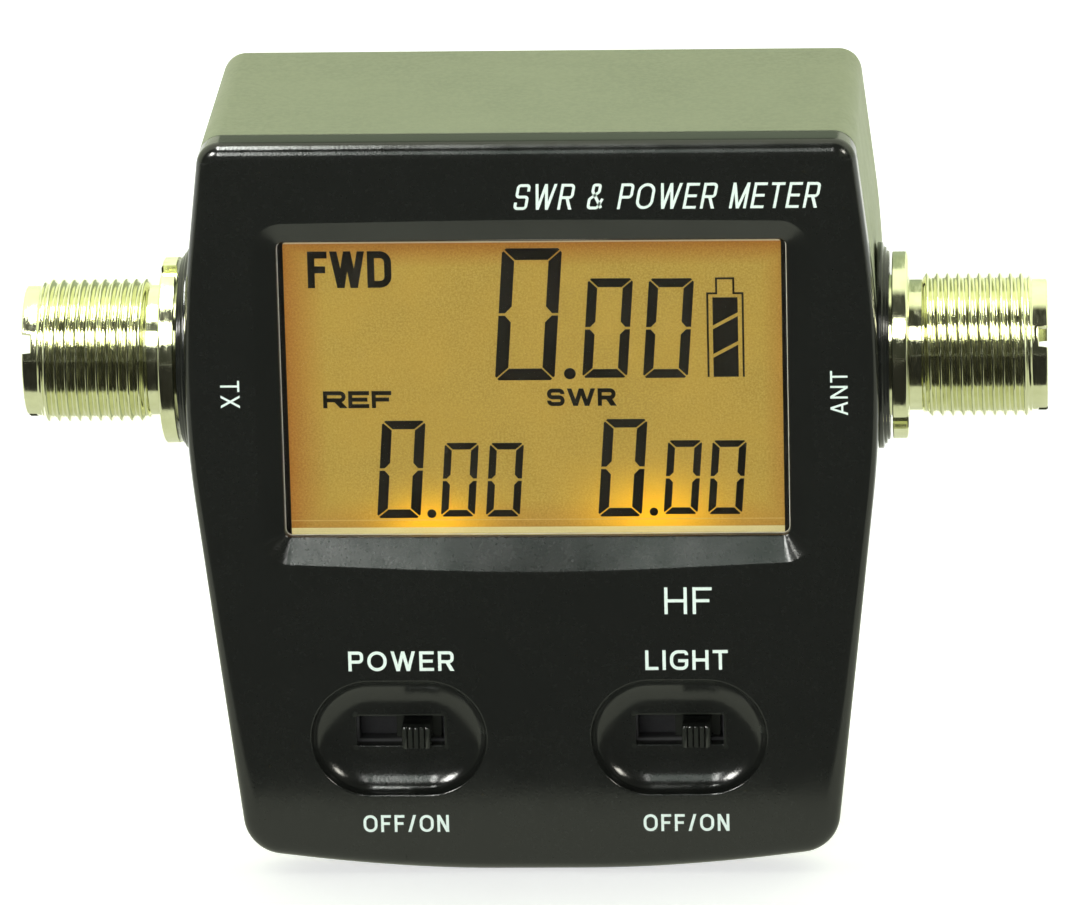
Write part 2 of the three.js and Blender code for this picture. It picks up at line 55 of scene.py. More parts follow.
# ---- places taken from the CAD nodes ----
housing_low, housing_high = cad("rear_housing")
door_low, door_high = cad("battery_door")
window_low, window_high = cad("display_window")
glass_low, _ = cad("lcd_glass")
board_low, _ = cad("main_board")
shell_low, shell_high = cad("ant_socket_shell")
nut_low, nut_high = cad("ant_socket_nut")
boss_low, boss_high = cad("ant_socket_boss")
contact_low, contact_high = cad("ant_socket_contact")

FRONT = cad("front_panel")[0].y
BACK = housing_high.y
HEIGHT = housing_high.z
GAP = 0.3
SEAM_BACK = housing_low.y
SEAM_FRONT = SEAM_BACK - GAP
SOCKET_Y = (boss_low.y + boss_high.y) / 2
SOCKET_Z = (boss_low.z + boss_high.z) / 2

# ---- shape of the case ----
WALL = 2.2
WAIST_TIP = 38.8  # half the width at the sockets' height, before the waist is rounded
WAIST_RADIUS = 120
LOWER_TAPER = math.tan(math.radians(6.3))
UPPER_TAPER = math.tan(math.radians(6.8))
TOP_RADIUS = 2.6
BOTTOM_RADIUS = 4.5
SOLE = 10  # half the width of the flat middle of the underside
BOTTOM_BOW = 215  # radius of the underside beside it
FRONT_FILLET = 1.7
REAR_FILLET = 1.6
PLATE = 2.4  # thickness of the panel's front wall
LIP = 1.2  # how far the panel's lip reaches into the housing
LIP_THICKNESS = 0.8
EDGE = 0.15  # rounding at the seam

WINDOW = {"x": 0.3, "z": 55.85, "width": 55.6, "height": 33.9, "bevel": 2.6, "depth": 1.6}
WINDOW_CORNER = 0.8
SWITCH_Z = 15.85
SWITCH_X = 15.5
DISH = {"width": 19.4, "height": 13.3, "depth": 2.6, "wall": 4.0, "floor": 1.4}
SLOT = {"width": 9.8, "height": 3.5}
SWITCHES = {"power": -SWITCH_X, "light": SWITCH_X}


# ---- outlines ----
def soften(corners, closed=True):
    """Rounds the corners of an anticlockwise outline and gives (point, outward normal) pairs.

    A corner is (u, v, radius, segments in its arc). A sharp corner's normal is its mitre."""
    outline = []
    count = len(corners)
    for i, (u, v, radius, segments) in enumerate(corners):
        at = Vector((u, v))
        into = at - Vector(corners[i - 1][:2])
        out = Vector(corners[(i + 1) % count][:2]) - at
        if not closed and i == 0:
            into = out
        if not closed and i == count - 1:
            out = into
        start = math.atan2(-into.x, into.y)
        turn = (math.atan2(-out.x, out.y) - start + math.pi) % math.tau - math.pi
        if radius == 0 or segments == 0:
            normal = start + turn / 2
            outline.append((at, Vector((math.cos(normal), math.sin(normal))) / math.cos(turn / 2)))
            continue
        reach = radius * math.tan(abs(turn) / 2)
        side = math.copysign(1, turn)
        centre = at - into.normalized() * reach - Vector((math.cos(start), math.sin(start))) * radius * side
        for k in range(segments + 1):
            angle = start + turn * k / segments
            normal = Vector((math.cos(angle), math.sin(angle)))
            outline.append((centre + normal * radius * side, normal))
    return outline


def profile(*corners):
    """An open rounded profile as plain (u, v) points."""
    return [tuple(point) for point, _ in soften(list(corners), closed=False)]


def rounded_rectangle(x, z, width, height, radius, segments=6):
    left, right = x - width / 2, x + width / 2
    low, high = z - height / 2, z + height / 2
    return soften([(right, low, radius, segments), (right, high, radius, segments),
                   (left, high, radius, segments), (left, low, radius, segments)])


def stadium(x, z, width, height, segments=20):
    return rounded_rectangle(x, z, width, height, height / 2 - 0.005, segments)


def circle(x, z, radius, count=32):
    turns = [math.tau * k / count for k in range(count)]
    return [(Vector((x, z)) + Vector((math.cos(a), math.sin(a))) * radius,
             Vector((math.cos(a), math.sin(a)))) for a in turns]


def quarter_turn(steps):
    """Evenly spaced angles from 0 to a quarter turn."""
    return [math.pi / 2 * k / steps for k in range(steps + 1)]


def half_width(z):
    taper = LOWER_TAPER if z < SOCKET_Z else UPPER_TAPER
    return WAIST_TIP - abs(z - SOCKET_Z) * taper


def bow(x):
    return (x * x - SOLE * SOLE) / (2 * BOTTOM_BOW)


def case_outline(inset):
    corner_x = half_width(bow(half_width(0)))
    middle_x = (SOLE + corner_x) / 2
    right = [
        (SOLE, inset, 140, 5),
        (middle_x, bow(middle_x) + inset, 190, 5),
        (corner_x - inset, bow(corner_x) + inset, BOTTOM_RADIUS - inset, 12),
        (WAIST_TIP - inset, SOCKET_Z, WAIST_RADIUS - inset, 20),
        (half_width(HEIGHT) - inset, HEIGHT - inset, max(TOP_RADIUS - inset, 0.25), 12),
    ]
    left = [(-x, z, radius, segments) for x, z, radius, segments in reversed(right)]
    return soften(right + left)


def level(outline, y, inset=0.0):
    """The outline's points at depth y, moved inwards by inset."""
    return [Vector((p.x - n.x * inset, y, p.y - n.y * inset)) for p, n in outline]


# ---- meshes ----
class Shell:
    """A mesh built from rings of points."""

    def __init__(self):
        self.mesh = bmesh.new()

    def ring(self, points):
        return [self.mesh.verts.new(Vector(point) * MM) for point in points]

    def rings(self, *outlines):
        return [self.ring(points) for points in outlines]

    def loft(self, rings, closed=True):
        for near, far in zip(rings, rings[1:]):
            count = len(near)
            for i in range(count if closed else count - 1):
                j = (i + 1) % count
                self.mesh.faces.new((near[i], near[j], far[j], far[i]))

    def swept(self, outline_of, section):
        """Joined rings, one for each (value, depth) of the section; outline_of makes a value's outline."""
        rings = [self.ring(level(outline_of(value), y)) for value, y in section]
        self.loft(rings)
        return rings

    def cap(self, ring):
        self.mesh.faces.new(ring)

    def cone(self, ring, point):
        """Closes a ring with a fan of triangles to a point."""
        tip = self.ring([point])[0]
        for a, b in zip(ring, ring[1:] + ring[:1]):
            self.mesh.faces.new((a, b, tip))

    def fill(self, *rings):
        """Fills a flat region whose first ring is its border and whose others are holes."""
        edges = []
        for ring in rings:
            for a, b in zip(ring, ring[1:] + ring[:1]):
                edges.append(self.mesh.edges.get((a, b)) or self.mesh.edges.new((a, b)))
        bmesh.ops.triangle_fill(self.mesh, use_beauty=True, edges=edges)

    def solid(self, outlines):
        """A closed solid through the outlines, with flat ends."""
        rings = self.rings(*outlines)
        self.loft(rings)
        self.fill(rings[0])
        self.fill(rings[-1])

    def prism(self, corners, front, back):
        """A closed solid from (x, z) corners between two depths."""
        self.solid([[(x, y, z) for x, z in corners] for y in (front, back)])

    def turned(self, points, count=48, start=(0, 0, 0), axis="Y"):
        """Revolves closed [along, radius] points; a radius of 0 closes on the axis."""
        columns = []
        for along, radius in points:
            turns = [math.tau * k / count for k in range(count)]
            ring = [(radius * math.cos(a), along, radius * math.sin(a)) for a in turns]
            if axis == "X":
                ring = [(y, x, z) for x, y, z in ring]
            if axis == "Z":
                ring = [(x, z, y) for x, y, z in ring]
            ring = [Vector(point) + Vector(start) for point in ring]
            columns.append(self.ring(ring[:1] if radius == 0 else ring))
        pairs = list(zip(columns, columns[1:]))
        if len(columns[0]) > 1:
            pairs.append((columns[-1], columns[0]))
        for near, far in pairs:
            for i in range(count):
                j = (i + 1) % count
                corners = [near[i % len(near)], near[j % len(near)], far[j % len(far)], far[i % len(far)]]
                self.mesh.faces.new(list(dict.fromkeys(corners)))

    def data(self, name):
        bmesh.ops.recalc_face_normals(self.mesh, faces=self.mesh.faces[:])
        mesh = bpy.data.meshes.new(name)
        self.mesh.to_mesh(mesh)
        self.mesh.free()
        return mesh

    def placed(self, name):
        return place(name, self.data(name))

    def piece(self, name, slot, **settings):
        settle(self.placed(name), slot, **settings)

    def stand_for(self, node, ending, slot, **settings):
        """A piece that replaces one CAD node and is named after it."""
        self.piece(f"{node}_{ending}", slot, replaced=[node], **settings)


def place(name, mesh):
    piece = bpy.data.objects.new(name, mesh)
    bpy.context.scene.collection.objects.link(piece)
    return piece


def carve(piece, tool_shell, operation="DIFFERENCE"):
    """Cuts a shell out of the piece, or joins it on, and keeps the result as the piece's mesh."""
    tool = tool_shell.placed("tool")
    modifier = piece.modifiers.new("carve", "BOOLEAN")
    modifier.object = tool
    modifier.operation = operation
    modifier.solver = "EXACT"
    bpy.context.view_layer.update()
    result = bpy.data.meshes.new_from_object(piece.evaluated_get(bpy.context.evaluated_depsgraph_get()))
    piece.modifiers.clear()
    piece.data = result
    bpy.data.objects.remove(tool)


def settle(piece, slot, body="root", replaced=(), sharp=32):
    """Shades the piece, gives it its material and puts it on its body."""
    mesh = piece.data
    mesh.materials.clear()
    mesh.materials.append(MATERIALS[slot])
    mesh.shade_smooth()
    mesh.set_sharp_from_angle(angle=math.radians(sharp))
    normals = piece.modifiers.new("normals", "WEIGHTED_NORMAL")
    normals.mode = "FACE_AREA"
    normals.weight = 60
    normals.keep_sharp = True
    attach(piece, body)
    if replaced:
        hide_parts(*replaced)


# ---- materials ----
MATERIALS = {}


class Tree:
    """Short ways to add shader nodes to a node tree."""

    def __init__(self, tree):
        self.tree = tree

    def add(self, kind, inputs=None, **settings):
        node = self.tree.nodes.new(kind)
        for key, value in settings.items():
            setattr(node, key, value)
        for key, value in (inputs or {}).items():
            if isinstance(value, bpy.types.NodeSocket):
                self.tree.links.new(value, node.inputs[key])
            else:
                node.inputs[key].default_value = value
        return node

    def spread(self, value, low, high, start=0.3, end=0.7):
        """Maps a value between start and end to the range low to high."""
        return self.add("ShaderNodeMapRange", {
            "Value": value, "From Min": start, "From Max": end, "To Min": low, "To Max": high,
        }).outputs["Result"]

    def mix(self, factor, first, second):
        node = self.add("ShaderNodeMix", data_type="RGBA")
        for socket, value in (("Factor", factor), ("A", first), ("B", second)):
            target = next(s for s in node.inputs if s.name == socket and s.enabled)
            if isinstance(value, bpy.types.NodeSocket):
                self.tree.links.new(value, target)
            elif socket == "Factor":
                target.default_value = value
            else:
                target.default_value = (*value, 1)
        return next(s for s in node.outputs if s.enabled)

    def math(self, operation, first, second=0.0, clamp=False):
        node = self.add("ShaderNodeMath", operation=operation, use_clamp=clamp)
        for i, value in enumerate((first, second)):
            if isinstance(value, bpy.types.NodeSocket):
                self.tree.links.new(value, node.inputs[i])
            else:
                node.inputs[i].default_value = value
        return node.outputs[0]


class Nodes(Tree):
    """A material's node tree with its Principled shader."""

    def __init__(self, name, **values):
        self.material = bpy.data.materials.new(name)
        MATERIALS[name] = self.material
        self.material.use_nodes = True
        super().__init__(self.material.node_tree)
        self.shader = self.tree.nodes["Principled BSDF"]
        for key, value in values.items():
            self.shader.inputs[key.replace("_", " ")].default_value = value
        self.place = self.add("ShaderNodeTexCoord").outputs["Object"]

    def link(self, source, target):
        self.tree.links.new(source, self.shader.inputs[target])

    def noise(self, size, detail, stretch=(1, 1, 1)):
        """Noise from 0 to 1 whose features are about size millimetres wide."""
        scale = 1 / (size * MM)
        mapping = self.add("ShaderNodeMapping", {"Vector": self.place, "Scale": stretch})
        return self.add("ShaderNodeTexNoise", {
            "Vector": mapping.outputs["Vector"], "Scale": scale, "Detail": detail}).outputs["Fac"]

    def bump(self, height, depth):
        """Bump of about depth millimetres."""
        node = self.add("ShaderNodeBump", {"Height": height, "Strength": 1.0, "Distance": depth * MM})
        self.link(node.outputs["Normal"], "Normal")

    def edges(self, low, high):
        """0 in the flats, 1 on worn convex edges."""
        worn = self.add("ShaderNodeNewGeometry").outputs["Pointiness"]
        return self.spread(worn, 0, 1, low, high)

    def base(self, factor, first, second):
        self.link(self.mix(factor, first, second), "Base Color")

    def rough(self, size, detail, low, high):
        self.link(self.spread(self.noise(size, detail), low, high), "Roughness")


def moulded(name, dark, light, grain, depth, rough, worn, specular=0.5):
    """Moulded plastic: faint mottling, spark-eroded grain and slightly polished edges."""
    n = Nodes(name, Specular_IOR_Level=specular)
    mottle = n.spread(n.noise(9, 3), 0, 1)
    speckle = n.spread(n.noise(grain * 1.5, 1), 0, 1, 0.35, 0.65)
    base = n.mix(n.math("MULTIPLY_ADD", speckle, 0.35, clamp=True), dark, light)
    base = n.mix(n.math("MULTIPLY", mottle, 0.5), base, light)
    n.base(n.edges(0.52, 0.6), base, worn)
    n.rough(4, 4, rough[0], rough[1])
    n.bump(n.noise(grain, 2), depth)


def plated(name, dull, bright, rough, scratch, depth=0.004, stretch=(1, 1, 1)):
    """Plated or rolled metal: fine scratches, cloudy stains and brighter edges."""
    n = Nodes(name, Metallic=1.0)
    cloud = n.spread(n.noise(3, 4), 0, 1)
    base = n.mix(cloud, dull, bright)
    n.base(n.edges(0.53, 0.62), base, bright)
    fine = n.noise(scratch, 4, stretch)
    n.link(n.spread(fine, rough[0], rough[1]), "Roughness")
    n.bump(fine, depth)


def printed(name, colour, pale, rough):
    """Screen-printed ink: slightly uneven density and a dry edge."""
    n = Nodes(name, Specular_IOR_Level=0.3)
    n.base(n.spread(n.noise(0.12, 2), 0, 1, 0.4, 0.75), colour, pale)
    n.rough(0.3, 2, rough - 0.08, rough + 0.08)
    n.bump(n.noise(0.08, 2), 0.004)


def lcd_amber():
    """The backlit cell: even amber, browner towards the left and top, glowing over its two lamps."""
    n = Nodes("lcd_amber", Roughness=0.35, Specular_IOR_Level=0.2)
    split = n.add("ShaderNodeSeparateXYZ", {"Vector": n.place})
    x, z = split.outputs["X"], split.outputs["Z"]
    left = n.spread(x, 1, 0, -27.4 * MM, -22.5 * MM)
    right = n.spread(x, 0, 0.65, 25.2 * MM, 28.4 * MM)
    top = n.spread(z, 0, 1, 69.2 * MM, 72.2 * MM)
    low = n.spread(z, 0.55, 0, 39.0 * MM, 42.5 * MM)
    edge = n.math("MAXIMUM", n.math("MAXIMUM", left, right), n.math("MAXIMUM", top, low))
    grain = n.spread(n.noise(0.22, 3), 0, 1, 0.35, 0.65)
    cloud = n.spread(n.noise(7, 2), 0, 1, 0.35, 0.65)
    centre = n.mix(grain, (0.345, 0.22, 0.036), (0.455, 0.32, 0.066))
    centre = n.mix(n.math("MULTIPLY", cloud, 0.4), centre, (0.455, 0.295, 0.048))
    rim = n.mix(grain, (0.30, 0.1, 0.012), (0.39, 0.14, 0.02))
    glow = n.mix(n.math("MULTIPLY", edge, 0.9), centre, rim)
    for lamp_x, lamp_z, reach in ((-11.4, 39.6, 5.4), (13.1, 40.4, 6.6)):
        across = n.math("MULTIPLY", n.math("SUBTRACT", x, lamp_x * MM), 1 / (reach * MM))
        up = n.math("MULTIPLY", n.math("SUBTRACT", z, lamp_z * MM), 1 / (reach * 0.62 * MM))
        square = n.math("ADD", n.math("MULTIPLY", across, across), n.math("MULTIPLY", up, up))
        spot = n.math("POWER", 2.718, n.math("MULTIPLY", square, -1.0))
        glow = n.mix(n.math("MULTIPLY", spot, 0.95), glow, (1.15, 0.58, 0.014))
    lines = ((38.75, 0.55, (0.68, 0.62, 0.3), 0.8), (72.2, 0.2, (0.5, 0.5, 0.36), 0.7),
             (40.15, 0.06, (0.6, 0.42, 0.14), 0.5))
    for centre_z, half, colour, share in lines:
        away = n.math("ABSOLUTE", n.math("SUBTRACT", z, centre_z * MM))
        glow = n.mix(n.math("MULTIPLY", n.math("LESS_THAN", away, half * MM), share), glow, colour)
    n.link(glow, "Emission Color")
    n.base(0.75, glow, (0.02, 0.018, 0.012))
    n.shader.inputs["Emission Strength"].default_value = 0.86
    n.bump(n.noise(0.2, 2), 0.002)


def clear_window():
    """Polished acrylic with a trace of dust."""
    n = Nodes("clear_window", Transmission_Weight=1.0, IOR=1.3, Specular_IOR_Level=0.3)
    n.base(n.noise(3, 2), (0.97, 0.98, 0.96), (0.99, 1.0, 0.99))
    n.rough(1.5, 3, 0.0, 0.03)


def diffuser():
    n = Nodes("diffuser", Subsurface_Weight=0.2, IOR=1.49)
    n.base(n.noise(2, 3), (0.82, 0.78, 0.66), (0.9, 0.86, 0.75))
    dots = n.add("ShaderNodeTexVoronoi", {"Vector": n.place, "Scale": 1 / (0.8 * MM)})
    n.rough(1, 2, 0.3, 0.5)
    n.bump(dots.outputs["Distance"], 0.05)


def circuit_board():
    """Solder mask over copper tracks: tracks show as lighter raised lanes."""
    n = Nodes("circuit_board", Coat_Weight=0.3, Coat_Roughness=0.2)
    cells = n.add("ShaderNodeTexVoronoi", {"Vector": n.place, "Scale": 1 / (3.2 * MM)},
                  feature="DISTANCE_TO_EDGE")
    lane = n.spread(cells.outputs["Distance"], 1, 0, 0.05, 0.09)
    mask = n.mix(n.noise(6, 3), (0.016, 0.09, 0.035), (0.03, 0.15, 0.06))
    n.base(lane, mask, (0.06, 0.24, 0.09))
    n.rough(2, 3, 0.3, 0.45)
    n.bump(lane, 0.03)


def cell_wrap():
    """Heat-shrunk sleeve: blue with a pale band at one end and fine shrink ripples."""
    n = Nodes("cell_wrap", Coat_Weight=0.5, Coat_Roughness=0.12)
    x = n.add("ShaderNodeSeparateXYZ", {"Vector": n.place}).outputs["X"]
    band = n.math("GREATER_THAN", n.math("ABSOLUTE", x), 15 * MM)
    blue = n.mix(n.noise(8, 3), (0.02, 0.055, 0.17), (0.035, 0.085, 0.24))
    n.base(band, blue, (0.55, 0.55, 0.52))
    n.rough(2, 3, 0.25, 0.4)
    n.bump(n.noise(1.2, 3, (0.3, 1, 1)), 0.05)


def layered_rubber():
    """Conductive and insulating layers across the strip."""
    n = Nodes("elastomer")
    bands = n.add("ShaderNodeTexWave", {"Vector": n.place, "Scale": 1 / (1.2 * MM), "Distortion": 0.4})
    n.base(bands.outputs["Fac"], (0.34, 0.2, 0.25), (0.05, 0.045, 0.05))
    n.rough(1, 3, 0.7, 0.9)
    n.bump(bands.outputs["Fac"], 0.02)


moulded("black_plastic", (0.0096, 0.0104, 0.0092), (0.0145, 0.0156, 0.0138), 0.28, 0.008, (0.13, 0.2),
        (0.022, 0.024, 0.02))
# The case is black all over: this grey base colour is a painted reflection of the pale backdrop on its top
# and sides.
moulded("grey_plastic", (0.265, 0.295, 0.21), (0.42, 0.455, 0.315), 0.35, 0.03, (0.5, 0.66),
        (0.34, 0.38, 0.26), 0.3)
moulded("white_dielectric", (0.72, 0.7, 0.62), (0.82, 0.8, 0.73), 0.3, 0.01, (0.4, 0.55), (0.86, 0.84, 0.78))
moulded("component_black", (0.014, 0.014, 0.015), (0.03, 0.03, 0.032), 0.15, 0.02, (0.55, 0.75),
        (0.05, 0.05, 0.052))
moulded("ferrite", (0.03, 0.03, 0.032), (0.07, 0.07, 0.074), 0.12, 0.03, (0.6, 0.85), (0.1, 0.1, 0.1))
plated("nickel_plating", (0.74, 0.75, 0.48), (0.88, 0.89, 0.62), (0.08, 0.2), 0.35, 0.006, (1, 0.25, 0.25))
plated("contact_brass", (0.62, 0.44, 0.18), (0.8, 0.62, 0.3), (0.15, 0.3), 0.3)
plated("screw_steel", (0.42, 0.43, 0.44), (0.62, 0.63, 0.64), (0.22, 0.42), 0.25, 0.01)
plated("tinplate", (0.55, 0.56, 0.57), (0.72, 0.73, 0.74), (0.2, 0.4), 0.8, 0.006, (0.2, 1, 1))
printed("legend_ink", (0.84, 0.97, 0.91), (0.74, 0.85, 0.79), 0.5)
printed("lcd_ink", (0.010, 0.0085, 0.006), (0.016, 0.0135, 0.009), 0.4)
for make in (lcd_amber, clear_window, diffuser, circuit_board, cell_wrap, layered_rubber):
    make()

# How the names of the CAD nodes that stay begin, by finish.
CAD_FINISH = {
    "clear_window": ("display_window",),
    "lcd_amber": ("lcd_glass",),
    "diffuser": ("light_guide", "backlight_led"),
    "elastomer": ("elastomer_strip",),
    "black_plastic": ("lcd_frame",),
    "circuit_board": ("main_board", "coupler_board"),
    "tinplate": ("crystal", "shield", "battery_contact"),
    "contact_brass": ("through_line",),
    "screw_steel": ("board_screw",),
    "ferrite": ("forward_toroid", "reflected_toroid"),
    "white_dielectric": ("forward_trimmer", "reflected_trimmer"),
    "component_black": ("microcontroller", "voltage_regulator", "forward_detector", "reflected_detector",
                        "power_switch_body", "light_switch_body", "power_switch_frame",
                        "light_switch_frame"),
}


def dress_cad_nodes():
    for name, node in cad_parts.items():
        finish = next((slot for slot, starts in CAD_FINISH.items() if name.startswith(starts)), None)
        if finish is None:
            continue
        node.data.materials.clear()
        node.data.materials.append(MATERIALS[finish])
        if finish in ("clear_window", "lcd_amber"):
            continue
        edges = node.modifiers.new("edges", "BEVEL")
        edges.width = 0.12 * MM
        edges.segments = 2
        edges.limit_method = "ANGLE"
        edges.angle_limit = math.radians(50)


# ---- front panel ----
def window_outline(grow):
    """The display opening, larger by grow; its long edges bow outwards as it grows."""
    share = grow / WINDOW["bevel"]
    right, left = WINDOW["x"] + WINDOW["width"] / 2 + grow, WINDOW["x"] - WINDOW["width"] / 2 - grow
    low, high = WINDOW["z"] - WINDOW["height"] / 2 - grow, WINDOW["z"] + WINDOW["height"] / 2 + grow
    radius = WINDOW_CORNER + grow
    sag = {"low": max(0.7 * share, 0.05), "high": max(0.2 * share, 0.05)}
    reach = WINDOW["width"] / 2 - 2
    corners = [
        (WINDOW["x"], low - 2 * sag["low"], reach * reach / (4 * sag["low"]), 14),
        (right, low, radius, 8),
        (right, high, radius, 8),
        (WINDOW["x"], high + 2 * sag["high"], reach * reach / (4 * sag["high"]), 14),
        (left, high, radius, 8),
        (left, low, radius, 8),
    ]
    return soften(corners)


def add_window(shell):
    """The display opening with its bevel, from the front plane to the plate's back."""
    bevel, depth = WINDOW["bevel"], WINDOW["depth"]
    section = profile((bevel + 0.5, 0, 0, 0), (bevel, 0, 0.45, 4), (0, depth, 0.3, 4), (0, PLATE, 0, 0))
    return shell.swept(window_outline, [(grow, FRONT + y) for grow, y in section])


def add_bowl(shell, x):
    """From the front plane over the rim and down a switch's dish to its floor."""
    rim = 0.22
    section = [(-rim + rim * math.sin(a), rim * (1 - math.cos(a))) for a in (0, 0.4, 0.8, 1.2)]
    section += [(DISH["wall"] * (1 - math.cos(t)), rim + (DISH["depth"] - rim) * math.sin(t))
                for t in quarter_turn(14)]

    def outline(shrink):
        return stadium(x, SWITCH_Z, DISH["width"] - 2 * shrink, DISH["height"] - 2 * shrink)

    return shell.swept(outline, [(shrink, FRONT + depth) for shrink, depth in section])


def add_dish(shell, x):
    """A switch recess with its slot; gives the ring on the front plane and the one on the plate's back."""
    bowl = add_bowl(shell, x)
    floor, behind = FRONT + DISH["depth"], FRONT + DISH["depth"] + DISH["floor"]

    def outline(grow):
        width, height = SLOT["width"] + 2 * grow, SLOT["height"] + 2 * grow
        return rounded_rectangle(x, SWITCH_Z, width, height, 0.25 + grow)

    slot = shell.swept(outline, profile((0.3, floor, 0, 0), (0, floor, 0.12, 3), (0, behind, 0, 0)))
    shell.fill(bowl[-1], slot[0])
    backing = stadium(x, SWITCH_Z, DISH["width"] + 3, DISH["height"] + 3)
    rear, foot = shell.rings(level(backing, behind), level(backing, FRONT + PLATE))
    shell.fill(rear, slot[-1])
    shell.loft([rear, foot])
    return bowl[0], foot


def post_shell(places, radius, bore, front, back):
    posts = Shell()
    for x, z in places:
        posts.turned([(front, bore), (front, radius), (back, radius), (back, bore)], 32, (x, 0, z))
    return posts


def screw_places(prefix):
    boxes = [cad(f"{prefix}_{i}") for i in (1, 2, 3, 4)]
    return [((low.x + high.x) / 2, (low.z + high.z) / 2) for low, high in boxes]


def spot_faces(hole, reach):
    """The round seats for the socket bosses, and holes round the socket shells as far out as reach."""
    seat, seat_radius = boss_low.x - GAP, 11.9
    inside, outside = 30, 60
    tool = Shell()
    for side in (-1, 1):
        for near, far, radius, count in ((seat, outside, seat_radius, 96), (inside, reach, hole, 64)):
            near, far = side * near, side * far
            tool.turned([(near, 0), (near, radius), (far, radius), (far, 0)], count,
                        (0, SOCKET_Y, SOCKET_Z), "X")
    return tool


def front_panel():
    shell = Shell()
    section = [(FRONT_FILLET * (1 - math.sin(t)), FRONT + FRONT_FILLET * (1 - math.cos(t)))
               for t in quarter_turn(9)]
    lip_end = SEAM_FRONT + LIP
    rim = WALL + GAP
    section += [(0, SEAM_FRONT - EDGE), (EDGE * 0.3, SEAM_FRONT - EDGE * 0.3), (EDGE, SEAM_FRONT)]
    section += [(rim, SEAM_FRONT), (rim, lip_end - EDGE), (rim + EDGE, lip_end)]
    section += [(rim + LIP_THICKNESS, y) for y in (lip_end, FRONT + PLATE)]
    rings = shell.swept(case_outline, section)
    window = add_window(shell)
    dishes = [add_dish(shell, x) for x in SWITCHES.values()]
    shell.fill(rings[0], window[0], *[front for front, _ in dishes])
    shell.fill(rings[-1], window[-1], *[back for _, back in dishes])
    panel = shell.placed("front_panel_moulding")
    carve(panel, spot_faces(SHOULDER + GAP, 36))
    post_root = FRONT + PLATE - 0.5
    for screws, radius, bore, post_end in (("board_screw", 2.4, 1.25, board_low.y - GAP),
                                           ("case_screw", 2.7, 1.6, -5.3)):
        carve(panel, post_shell(screw_places(screws), radius, bore, post_root, post_end), "UNION")
    settle(panel, "black_plastic", replaced=["front_panel"])


# ---- rear housing ----
BAY = {"half": 24.4, "low": 14.6, "high": 49, "front": 5.9, "wall": 1.6, "rim": 2.0}


def box_outline(half, low, high, radius):
    return rounded_rectangle(0, (low + high) / 2, 2 * half, high - low, radius, 5)


def rear_housing():
    shell = Shell()
    inner_back = BACK - WALL
    section = [(WALL, inner_back), (WALL, SEAM_BACK), (EDGE, SEAM_BACK)]
    section += [(EDGE * 0.3, SEAM_BACK + EDGE * 0.3), (0, SEAM_BACK + EDGE)]
    section += [(REAR_FILLET * (1 - math.cos(t)), BACK - REAR_FILLET * (1 - math.sin(t)))
                for t in quarter_turn(7)]
    rings = shell.swept(case_outline, section)

    half = door_high.x + GAP
    low, high = door_low.z - GAP, door_high.z + GAP
    recess = shell.swept(lambda grow: box_outline(half + grow, low - grow, high + grow, 1.2 + grow),
                         profile((0.4, BACK, 0, 0), (0, BACK, 0.25, 3), (0, inner_back, 0, 0)))

    def bay_outline(wall):
        corner = 1.5 if wall else 0.6
        return box_outline(BAY["half"] + wall, BAY["low"] - wall, BAY["high"] + wall, corner)

    bay = [shell.ring(level(bay_outline(0), y)) for y in (inner_back, BAY["front"])]
    shell.fill(recess[-1], bay[0])
    shell.loft(bay)
    shell.fill(bay[-1])
    outer = shell.swept(bay_outline, [(BAY["rim"], inner_back), (BAY["rim"], BAY["front"] - BAY["wall"])])
    shell.fill(outer[-1])

    head_seat, tunnel_front = cad("case_screw_1")[1].y - 2.3, -5.0
    head_room, bore, tunnel = 2.9, 1.6, 3.05
    mouths, roots = [], []
    for x, z in screw_places("case_screw"):
        section = profile((3.2, BACK, 0, 0), (head_room, BACK, 0.2, 3), (head_room, head_seat, 0, 0))
        section += [(bore, head_seat), (bore, tunnel_front), (tunnel, tunnel_front), (tunnel, inner_back)]
        tube = shell.swept(lambda radius: circle(x, z, radius), section)
        mouths.append(tube[0])
        roots.append(tube[-1])
    shell.fill(rings[-1], recess[0], *mouths)
    shell.fill(rings[0], outer[0], *roots)
    housing = shell.placed("rear_housing_moulding")
    carve(housing, spot_faces(SHANK + GAP, 38.5))
    # The housing's grey is a painted reflection of the backdrop on a black case.
    settle(housing, "grey_plastic", replaced=["rear_housing"])


# How a finger groove of the battery door narrows with its depth.
GRIP_GROOVE = ((0, 0), (0.05, 0.12), (0.15, 0.34), (0.32, 0.5))


def battery_door():
    shell = Shell()
    half, low, high = door_high.x, door_low.z, door_high.z
    section = profile((1.5, door_low.y, 0, 0), (0, door_low.y, 0.2, 3), (0, door_high.y, 0.45, 5),
                      (1.5, door_high.y, 0, 0))
    rings = [shell.ring(level(box_outline(half, low, high, 1.6), y, inset)) for inset, y in section]
    shell.loft(rings)
    shell.fill(rings[0])
    grooves = []
    for z in [high - 4 - 1.8 * i for i in range(4)]:
        groove = shell.swept(lambda shrink: stadium(0, z, 12 - 2 * shrink, 1.0 - 2 * shrink, 8),
                             [(shrink, door_high.y - depth) for shrink, depth in GRIP_GROOVE])
        shell.fill(groove[-1])
        grooves.append(groove[0])
    shell.fill(rings[-1], *grooves)
    # The door's grey is a painted reflection of the backdrop on a black case.
    shell.stand_for("battery_door", "moulding", "grey_plastic", body="door")


# ---- sockets ----
THREAD = {"start": 42.6, "pitch": 1.15, "crest": 7.9375, "root": 7.4, "fade_in": 1.6, "fade_out": 1.15}
NECK = 7.25
SHANK = 7.8
RING_START = 54.75
SHOULDER = 9.0


